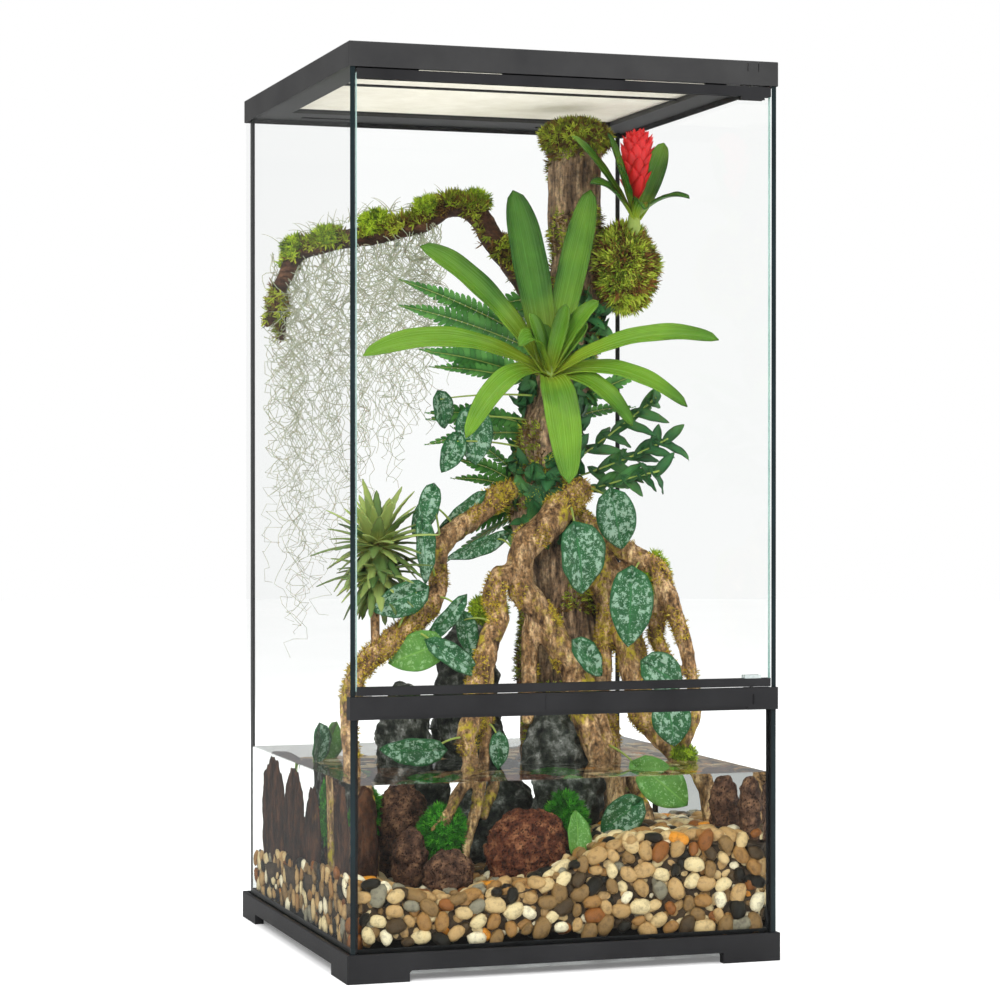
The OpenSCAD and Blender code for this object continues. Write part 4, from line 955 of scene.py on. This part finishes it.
def make_spike():
    """The red flower spike: bracts in a spiral, over a stalk."""
    bract = template("bract", bract_shape)
    chance = random.Random(12)
    spots = []
    for i in range(BRACTS):
        t = i / (BRACTS - 1)
        z = 806 + 70 * t
        wide = next(a[1] + (b[1] - a[1]) * (z - a[0]) / (b[0] - a[0])
                    for a, b in zip(SPIKE_WIDTHS, SPIKE_WIDTHS[1:]) if a[0] <= z <= b[0])
        turn = i * 2.39996
        centre = mm(163 + 7 * (z - 790) / 104, 14, z)
        place = centre + Vector((math.cos(turn), math.sin(turn), 0)) * wide * 0.45 * MM
        lean = 0.5 - 0.4 * t + chance.uniform(-0.05, 0.05)
        facing = Matrix.Rotation(turn, 3, "Z") @ Matrix.Rotation(lean, 3, "Y")
        size = (0.75 + 0.6 * math.sin(math.pi * min(1, 0.15 + t))) * min(1, (897 - z) / 36)
        spots.append((place, facing, Vector((size, size, size))))
    set_out("red_spike", spots, bract, "red", ["flower_spike"], 0.0005)
    tubes("spike_stalk", [stem_route(SPIKE_STALK)], "stem", 8)


def blade_shape(bm, uv):
    """A stiff toothed blade of unit length along +X."""
    route = [Vector((t, 0, 0.09 * math.sin(t * 2.6))) for t in (i / 12 for i in range(13))]

    def half(t):
        return (0.135 * (1 - t) ** 0.6 * min(1, 0.55 + 2 * t) + 0.003) * (1 + 0.2 * (round(t * 12) % 2))
    grid_faces(bm, uv, leaf_rows(bm, route, [Vector((0, 1, 0))] * 13, half, 0.3, cells=4))


# centre, blades, lowest and highest angle, size
WHORLS = ((mm(-149, -42, 430), 70, -62, 72, 1.0), (mm(-151, -46, 402), 44, -72, 12, 0.9))


def make_rosette():
    """Whorls of stiff blades on a stalk."""
    blade = template("blade", blade_shape)
    chance = random.Random(5)
    spots = []
    for centre, count, lowest, highest, size in WHORLS:
        for i in range(count):
            turn = math.radians(i * 137.5)
            rise = math.radians(lowest + (highest - lowest) * (i / (count - 1)) ** 1.2)
            reach = (0.068 - 0.008 * (i % 3)) * chance.uniform(0.84, 1.0) * size
            facing = Matrix.Rotation(turn, 3, "Z") @ Matrix.Rotation(-rise, 3, "Y")
            way = facing @ Vector((1, 0, 0))
            spots.append((centre + way * 0.004, facing, Vector((reach, reach * 1.1, reach))))
    set_out("spiky_blades", spots, blade, "spiky", ["spiky_rosette"], 0.0009)
    tubes("rosette_stalk", [stem_route(ROSETTE_STALK)], "root", 8)


# base point, length, width, tip direction from +Z, turn about Z, support point
VINE_LEAVES = [
    ((118, -40, 474), 56, 42, 166, -8, (104, 16, 490)),
    ((66, -68, 436), 62, 58, 168, 6, (82, -2, 472)),
    ((128, -70, 386), 68, 46, 184, -10, (160, -12, 408)),
    ((66, -76, 318), 44, 30, 135, 0, (70, -50, 302)),
    ((-6, -14, 434), 62, 20, -112, 10, (14, -14, 420)),
    ((-26, 2, 476), 54, 18, -130, 10, (-2, 18, 474)),
    ((-86, -34, 484), 40, 22, -160, 0, (-68, -8, 430)),
    ((-104, -62, 446), 58, 24, 176, 0, (-80, -28, 390)),
    ((-66, -62, 364), 56, 20, -140, 0, (-84, -34, 372)),
    ((-96, -92, 322), 62, 24, 120, 0, (-118, -52, 340)),
    ((-96, -72, 322), 50, 40, -110, 0, (-112, -50, 344)),
    ((140, -96, 298), 44, 40, 120, 0, (151, -34, 262)),
    ((-112, -122, 218), 54, 30, -92, 0, (-68, -99, 228)),
    ((-36, -112, 226), 32, 20, 178, 0, (-37, -76, 240)),
    ((160, -98, 252), 40, 42, 176, 8, (158, -50, 230)),
    ((116, -132, 190), 54, 44, 130, 0, (103, -62, 212)),
    ((92, -152, 158), 44, 38, -130, 0, (92, -86, 130)),
    ((28, -162, 118), 40, 28, 4, 0, (26, -160, 92)),
    ((-170, 62, 222), 46, 38, -150, 40, (-199, 50, 168)),
    ((-196, 20, 226), 40, 32, 170, 60, (-200, 42, 168)),
    ((-60, 22, 586), 36, 26, 160, 0, (76, 44, 590)),
    ((-40, 24, 540), 40, 26, -150, 0, (56, 42, 530)),
    ((-20, 30, 566), 52, 40, 176, 0, (66, 44, 560)),
    ((-80, -8, 472), 38, 24, -150, 0, (-48, 2, 445)),
    ((-116, -78, 380), 50, 36, -115, 0, (-134, -55, 328)),
    ((-52, -40, 348), 40, 24, 170, 0, (-20, -52, 344))]
FRESH_LEAVES = (15, 17, 10, 18)


def heart_leaf(bm, uv, base, length, width, facing, curl, fold, along=14, across=8):
    """A heart-shaped blade: base at base, tip along the facing's +Y, upper side towards its +Z."""
    rows = []
    for i in range(along + 1):
        t = i / along
        wide = width * 1.2 * t ** 0.45 * (1 - t) ** 0.85 + 0.0002
        rows.append([])
        for j in range(across + 1):
            u = 2 * j / across - 1
            back = 0.3 * length * abs(u) ** 1.5 * (1 - t) ** 4
            depth = (fold * wide * abs(u) - curl * length * t * t
                     + 0.02 * length * math.sin(t * 17 + u * 3) * abs(u))
            rows[-1].append(bm.verts.new(base + facing @ Vector((wide * u, length * t - back, depth))))
    grid_faces(bm, uv, rows)


def vine_facing(tip, turn):
    """How a vine leaf faces: its tip's direction from +Z, then its turn about Z."""
    return (Matrix.Rotation(math.radians(turn), 3, "Z") @ Matrix.Rotation(math.pi / 2, 3, "X")
            @ Matrix.Rotation(-math.radians(tip), 3, "Z"))


def make_vines():
    """The mottled vine leaves, the fresh ones, and a stalk to each from what carries it."""
    chance = random.Random(21)
    turned = []
    for base, length, width, tip, turn, support in VINE_LEAVES:
        lean = (Matrix.Rotation(chance.uniform(-0.3, 0.3), 3, "X")
                @ Matrix.Rotation(chance.uniform(-0.35, 0.35), 3, "Y"))
        turned.append((vine_facing(tip, turn) @ lean, chance.uniform(0.02, 0.2)))

    def some(chosen):
        def build(bm, uv):
            for i in chosen:
                base, length, width = VINE_LEAVES[i][:3]
                facing, curl = turned[i]
                heart_leaf(bm, uv, mm(*base), length * MM, width * MM, facing, curl, 0.28)
        return build
    others = [i for i in range(len(VINE_LEAVES)) if i not in FRESH_LEAVES]
    thin_piece("mottled_leaves", some(others), 0.0008, "silver", ["vine_leaves"])
    thin_piece("fresh_leaves", some(FRESH_LEAVES), 0.0008, "fresh")
    routes = []
    for base, length, width, tip, turn, support in VINE_LEAVES:
        route = bend(mm(*support), mm(*base), 0.008, 12)
        routes.append([(p, 0.0014 - 0.0005 * i / 12) for i, p in enumerate(route)])
    tubes("vine_stalks", routes, "stem", 6, ["vine_stems"])


SPRIGS = [((86, 42, 508), (158, 26, 560), (190, 16, 590)), ((86, 38, 496), (160, 20, 520), (200, 4, 544)),
          ((84, 32, 478), (150, 2, 500), (184, -10, 508))]
SPRIG_LEAVES = 10


def make_sprigs():
    """Leafy sprigs: drooping leaves to both sides of curved stems."""
    chance = random.Random(8)

    def stem_at(stem, t):
        a, b, c = (mm(*p) for p in stem)
        return a * (1 - t) ** 2 + b * 2 * t * (1 - t) + c * t * t

    def leaves(bm, uv):
        for stem in SPRIGS:
            for i in range(SPRIG_LEAVES):
                t = 0.25 + 0.74 * i / (SPRIG_LEAVES - 1)
                side = 1 if i % 2 else -1
                facing = (Matrix.Rotation(math.radians(chance.uniform(-40, 40)), 3, "Z")
                          @ Matrix.Rotation(math.radians(chance.uniform(40, 85)), 3, "X")
                          @ Matrix.Rotation(math.radians(-72 + side * chance.uniform(15, 60)), 3, "Z"))
                heart_leaf(bm, uv, stem_at(stem, t), chance.uniform(0.026, 0.04), 0.0115, facing, 0.28, 0.3)
    thin_piece("sprig_leaves", leaves, 0.0007, "dark_leaf", ["shrub_sprigs"])
    stems = [[(stem_at(stem, i / 10), 0.0013) for i in range(11)] for stem in SPRIGS]
    tubes("sprig_stems", stems, "stem", 6)


# start, end, half width, tilt
FERNS = [
    ((80, 56, 634), (-88, 74, 690), 17, 60), ((76, 56, 604), (-60, 70, 640), 15, 70),
    ((60, 56, 558), (-58, 72, 572), 14, 60), ((50, 60, 488), (-30, 50, 520), 12, 50),
    ((54, 58, 470), (-40, 60, 430), 15, 60), ((90, 58, 568), (196, 66, 620), 12, 70),
    ((96, 78, 700), (20, 96, 690), 14, 60)]
PINNA_SPACING = 0.0068
PINNA_WIDTH = 0.021


def pinna_shape(bm, uv):
    """A lobed leaflet of unit length along +Y, flat in XY."""
    route = [Vector((0.14 * t * t, t, 0)) for t in (i / 10 for i in range(11))]

    def half(t):
        return (0.17 * math.sqrt(1 - t ** 3) + 0.004) * (1 - 0.2 * (round(t * 10) % 2))
    grid_faces(bm, uv, leaf_rows(bm, route, [Vector((1, 0, 0))] * 11, half, 0.0, cells=2))


def make_ferns():
    """Fern fronds: each row of the table, and two looser ones beside it."""
    pinna = template("pinna", pinna_shape)
    chance = random.Random(33)
    fronds = [(mm(*a), mm(*b), w * MM, math.radians(d)) for a, b, w, d in FERNS]
    for a, b, w, d in list(fronds):
        for k in range(2):
            x, y = chance.uniform(-0.02, 0.02), chance.uniform(-0.012, 0.02)
            shift = Vector((x, y, chance.uniform(-0.045, 0.045)))
            wide = w * chance.uniform(0.75, 1.0)
            fronds.append((a + shift * 0.25, b + shift, wide, d + chance.uniform(-0.5, 0.4)))
    spots, spines = [], []
    for a, b, w, d in fronds:
        count = max(12, round((b - a).length / PINNA_SPACING))
        route = bend(a, b, 0.012, count)
        heading = (b - a).normalized()
        side = UP.cross(heading).normalized()
        side = (Matrix.Rotation(d, 3, heading) @ side).normalized()
        up = heading.cross(side).normalized()
        spines.append([(p, 0.0009 - 0.0006 * i / count) for i, p in enumerate(route)])
        for i, place in enumerate(route[1:], 1):
            t = i / count
            reach = w * math.sin(math.radians(20 + 155 * t)) * chance.uniform(0.9, 1.08)
            for hand in (1, -1):
                y = (heading * 0.3 + side * hand).normalized()
                x = y.cross(up * hand).normalized()
                facing = Matrix((x, y, x.cross(y))).transposed()
                spots.append((place, facing, Vector((PINNA_WIDTH, reach, 1.0))))
    set_out("fern_leaflets", spots, pinna, "fern", ["fern_fronds"])
    tubes("fern_spines", spines, "stem", 4)


# ---------- moss ----------

def patch(source, wanted):
    """The faces of a piece whose middle and normal are wanted, as a mesh of their own."""
    bm = bmesh.new()
    bm.from_mesh(source.data)
    others = [face for face in bm.faces if not wanted(face.calc_center_median(), face.normal)]
    bmesh.ops.delete(bm, geom=others, context="FACES")
    data = bpy.data.meshes.new(source.name + "_patch")
    bm.to_mesh(data)
    bm.free()
    return data


def cloudy(scale, level, seed):
    """A test for places in clouds of the given scale."""
    shift = Vector((seed, 2 * seed, 3 * seed))
    return lambda place: noise.noise(place * scale + shift) > level


def creeper_shape(bm, uv):
    """A small drooping leaf that stands off the bark."""
    facing = Matrix.Rotation(-math.pi / 2, 3, "Z") @ Matrix.Rotation(0.6, 3, "X")
    heart_leaf(bm, uv, Vector((0, 0, 0.001)), 0.02, 0.014, facing, 0.15, 0.25, 6, 4)


def make_covers(trunk, branch, roots):
    """Creepers, moss and lichen on the wood, each over the part of a piece that its test wants."""
    creeper = template("creeper", creeper_shape)
    sprout = template("sprout", sprout_shape)
    leafy = cloudy(16, -0.12, 3)
    mossy = cloudy(20, 0.08, 5)
    shaggy = cloudy(24, -0.16, 11)
    covers = [
        ("creeper_leaves", trunk, lambda p, n: 0.43 < p.z < 0.7 and leafy(p), creeper, "dark_leaf",
         "dark_leaf", 0.0085, (0.6, 1.25), 0.6, 31),
        ("trunk_moss", trunk, lambda p, n: mossy(p) and p.z > 0.2, sprout, "olive_moss",
         "olive_moss", 0.0042, (0.6, 1.2), 0.5, 32),
        ("branch_tufts", branch, lambda p, n: n.z > 0.1 and mossy(p * 1.5), sprout, "bright_moss",
         "bright_moss", 0.0034, (0.7, 1.6), 0.5, 33),
        ("branch_cover", branch, lambda p, n: n.z > -0.25 and shaggy(p), sprout, "olive_moss",
         "olive_moss", 0.003, (0.8, 1.9), 0.7, 34)]
    for i, root in enumerate(roots):
        grown = cloudy(26, 0.12, 7 + i)
        covers.append(("root_lichen_%d" % i, root, lambda p, n, grown=grown: grown(p) and p.z > 0.21, sprout,
                       "lichen", "bright_moss", 0.0036, (0.35, 0.8), 0.6, 40 + i))
    for name, source, wanted, *rest in covers:
        scatter(name, patch(source, wanted), *rest)


def blades(bm, count, chance):
    """A tuft of short pointed blades about the origin, the later ones leaning further out."""
    for i in range(count):
        turn = i * 2.4
        lean = 0.15 + 0.9 * i / (count - 1)
        out = Vector((math.cos(turn), math.sin(turn), 0))
        side = Vector((-out.y, out.x, 0)) * 0.00055
        tip = (out * math.sin(lean) + UP * math.cos(lean)) * chance.uniform(0.0045, 0.0075)
        mid = tip * 0.55 + out * 0.0004
        a, b = bm.verts.new(-side), bm.verts.new(side)
        c, d = bm.verts.new(mid + side), bm.verts.new(mid - side)
        e = bm.verts.new(tip)
        bm.faces.new((a, b, c, d))
        bm.faces.new((d, c, e))


def sprout_shape(bm, uv):
    """A tuft of five short blades."""
    blades(bm, 5, random.Random(6))


def tuft_shape(bm, uv):
    """A tuft of nine short pointed blades."""
    blades(bm, 9, random.Random(2))


def make_moss(name, node, finish, slot, length, tuft, seed):
    """A node's mossy bed with tufts all over it."""
    core = weathered(name + "_bed", node, finish, slot, 0.003, 0.002, (90, 90, 90), 0.001)
    sizes = (0.5 * length, 1.25 * length)
    scatter(name + "_tufts", core.data.copy(), tuft, finish, slot, 0.0032, sizes, 0.5, seed)
    # the bed takes low tints, so it is dark brown: partly older moss, partly painted shade under the tufts
    values = core.data.attributes.new("tuft_tint", "FLOAT", "POINT")
    for i, vertex in enumerate(core.data.vertices):
        values.data[i].value = 0.1 + 0.3 * noise.noise(vertex.co * 120)


def make_mosses():
    tuft = template("tuft", tuft_shape)
    for i, (name, node, finish, slot, length) in enumerate((
            ("cap_moss", "moss_cap", "olive_moss", "olive_moss", 1.0),
            ("ball_moss", "moss_ball", "ball_moss", "olive_moss", 1.7),
            ("arch_moss", "branch_moss", "bright_moss", "bright_moss", 1.0),
            ("root_moss_cover", "root_moss", "bright_moss", "bright_moss", 0.9),
            ("pond_plants", "water_moss", "pond_moss", "pond_moss", 1.0))):
        make_moss(name, node, finish, slot, length, tuft, 20 + i)


STRANDS = 170
STRAND_STEPS = 56
STRAND_RADIUS = 0.00055
WISPS = 90


def make_air_moss():
    """A curtain of thin curling strands under the arched branch, and short wisps on it."""
    chance = random.Random(4)
    routes = []
    for i in range(STRANDS):
        t = chance.random()
        x, y = -208 + 165 * t + chance.uniform(-6, 6), 174 - 80 * t + chance.uniform(-14, 14)
        top = 752 + 32 * math.sin(math.radians(80 * t))
        drop = (420 - 230 * t) * chance.uniform(0.3, 1.12)
        phase, wide, turns = chance.uniform(0, 6.3), chance.uniform(3, 13), drop / chance.uniform(22, 50)
        drift_x, drift_y = chance.uniform(-18, 18), chance.uniform(-10, 10)
        route = []
        for j in range(STRAND_STEPS + 1):
            s = j / STRAND_STEPS
            a = phase + s * turns * 2 * math.pi
            grow = min(1, s * 6) * wide
            place = mm(max(-219, x + drift_x * s + grow * math.cos(a) + 4 * math.sin(s * 13 + phase)),
                       min(219, y + drift_y * s + grow * math.sin(a * 0.9)),
                       top - drop * s + 0.5 * grow * math.sin(a * 1.3 + phase))
            route.append((place, STRAND_RADIUS * (1 - 0.45 * s)))
        routes.append(route)
    for i in range(WISPS):
        t = chance.random()
        foot = Vector((-205 + 200 * t, 170 - 82 * t, 758 + 48 * math.sin(math.radians(100 * t)))) * MM
        a, rise, reach = chance.uniform(0, 6.3), chance.uniform(0.2, 1.2), chance.uniform(18, 42)
        way = Vector((math.cos(a) * math.cos(rise), math.sin(a) * math.cos(rise) * 0.6, math.sin(rise)))
        routes.append([(foot + way * reach * MM * k / 10 - UP * 0.012 * (k / 10) ** 2, 0.0006 * (1 - k / 16))
                       for k in range(11)])
    tubes("air_moss_strands", routes, "air_moss", 3, ["hanging_moss"])


# ---------- screen ----------

WEAVE = {"Width": 0.394, "Depth": 0.369, "Pitch": 0.002, "Wire": 0.00045}
SCREEN_PLACE = mm(0, -12.5, 915.5)


def make_screen():
    """The woven screen, made about the origin and moved to its frame."""
    obj = new_piece("woven_screen", bpy.data.meshes.new("woven_screen"))
    solid = plain_mesh(run_tree(obj, SCREEN, "screen", WEAVE))
    solid.transform(Matrix.Translation(SCREEN_PLACE))
    settle(new_piece("woven_screen", solid), "screen", ["screen_mesh"], "screen_cover")


# ---------- light and floor ----------

def softbox(name, place, target, size, power):
    light = bpy.data.lights.new(name, "AREA")
    light.shape = "RECTANGLE"
    light.size, light.size_y = size
    light.energy = power
    lamp = bpy.data.objects.new(name, light)
    lamp.location = place
    lamp.rotation_euler = (Vector(target) - Vector(place)).to_track_quat("-Z", "Y").to_euler()
    lamp.visible_camera = lamp.visible_glossy = lamp.visible_transmission = False
    scene.collection.objects.link(lamp)
    return lamp


MIRROR_LEVEL = 0.32    # how bright the studio looks in a pane's reflection
FLOOR_GLOW = 0.16      # what the pale floor adds for the eye alone
FLOOR_REACH = 9
FLOOR_SIDES = 96


def mirror_dimming(add):
    """How far a pane's reflection darkens the studio, from 0 to 1."""
    path = add("LightPath").outputs
    bounced = maths(add, "MINIMUM", path["Diffuse Depth"], 1.0)
    mirrored = maths(add, "SUBTRACT", path["Glossy Depth"], bounced, clamp=True)
    return maths(add, "MULTIPLY", mirrored, 1 - MIRROR_LEVEL)


def studio():
    """A white world, a pale floor and four soft lamps."""
    world = bpy.data.worlds.new("studio")
    scene.world = world
    world.use_nodes = True
    add = node_maker(world.node_tree, "ShaderNode")
    fit(world.node_tree.nodes["Background"], {
        "Strength": maths(add, "SUBTRACT", 1.0, mirror_dimming(add)), "Color": (1, 1, 1, 1)})

    finish, add, shader, place = start_finish("studio_floor", {
        "Roughness": 0.9, "Emission Color": (1, 1, 1, 1)})
    path = add("LightPath").outputs
    seen = maths(add, "MAXIMUM", path["Is Camera Ray"], path["Is Transmission Ray"])
    seen = maths(add, "MAXIMUM", seen, path["Is Glossy Ray"])
    fit(shader, {"Base Color": shades(add, speckle(add, place, 3, 2), (0.3, "F4F4F4"), (0.7, "F8F8F8")),
                 "Emission Strength": maths(add, "MULTIPLY", seen, FLOOR_GLOW)})
    show(finish, mix_shaders(add, mirror_dimming(add), shader, add("Emission", {"Strength": 0.0})))
    data = bpy.data.meshes.new("floor")
    turns = [2 * math.pi * i / FLOOR_SIDES for i in range(FLOOR_SIDES)]
    ring = [(FLOOR_REACH * math.cos(a), FLOOR_REACH * math.sin(a), 0) for a in turns]
    data.from_pydata(ring, [], [list(range(FLOOR_SIDES))])
    data.materials.append(finish)
    floor = new_piece("floor", data)
    lamps = [softbox("front_left", (-1.6, -2.4, 1.9), (0, 0, 0.45), (1.0, 1.2), 60),
             softbox("front_right", (2.2, -1.7, 1.6), (0, 0, 0.45), (1.2, 1.6), 22),
             softbox("overhead", (0, 0.1, 2.6), (0, 0, 0.4), (1.2, 1.2), 30),
             softbox("behind", (0.9, 2.4, 1.8), (0, 0, 0.5), (1.2, 1.6), 30)]


# ---------- the build ----------

dress_cad()
studio()
# name, node, finish, slot, cell, depth, grain, lumps
WOODS = [
    ("trunk_wood", "trunk", "trunk", "trunk_bark", 0.0026, 0.0036, (60, 60, 9), 0.003),
    ("arched_wood", "arch_branch", "branch", "trunk_bark", 0.0022, 0.0016, (60, 60, 60), 0.0008),
    ("left_root_wood", "left_root", "root", "root_wood", 0.0022, 0.002, (70, 70, 40), 0.001),
    ("centre_root_wood", "centre_root", "root", "root_wood", 0.0022, 0.002, (80, 80, 30), 0.001),
    ("right_root_wood", "right_roots", "root", "root_wood", 0.0022, 0.002, (80, 80, 30), 0.001)]
STONES = [
    ("volcanic_rock", "lava_rock", "lava", "lava", 0.0018, 0.004, (150, 150, 150), 0.002),
    ("brown_stones", "brown_rocks", "brown_stone", "brown_stone", 0.0022, 0.0036, (120, 120, 100), 0.003),
    ("grey_stones", "grey_rocks", "grey_stone", "grey_stone", 0.0028, 0.006, (60, 60, 60), 0.006)]
trunk_wood, arched_wood, *root_woods = [weathered(*row) for row in WOODS]
weathered("cork_slabs", "cork_bark", "cork", "cork", 0.0022, 0.0036, (130, 130, 40), 0.001, reshape=broaden)
for row in STONES:
    weathered(*row)
make_gravel()
make_water()
make_bromeliads()
make_spike()
make_rosette()
make_vines()
make_sprigs()
make_ferns()
make_mosses()
make_covers(trunk_wood, arched_wood, root_woods)
make_air_moss()
make_screen()
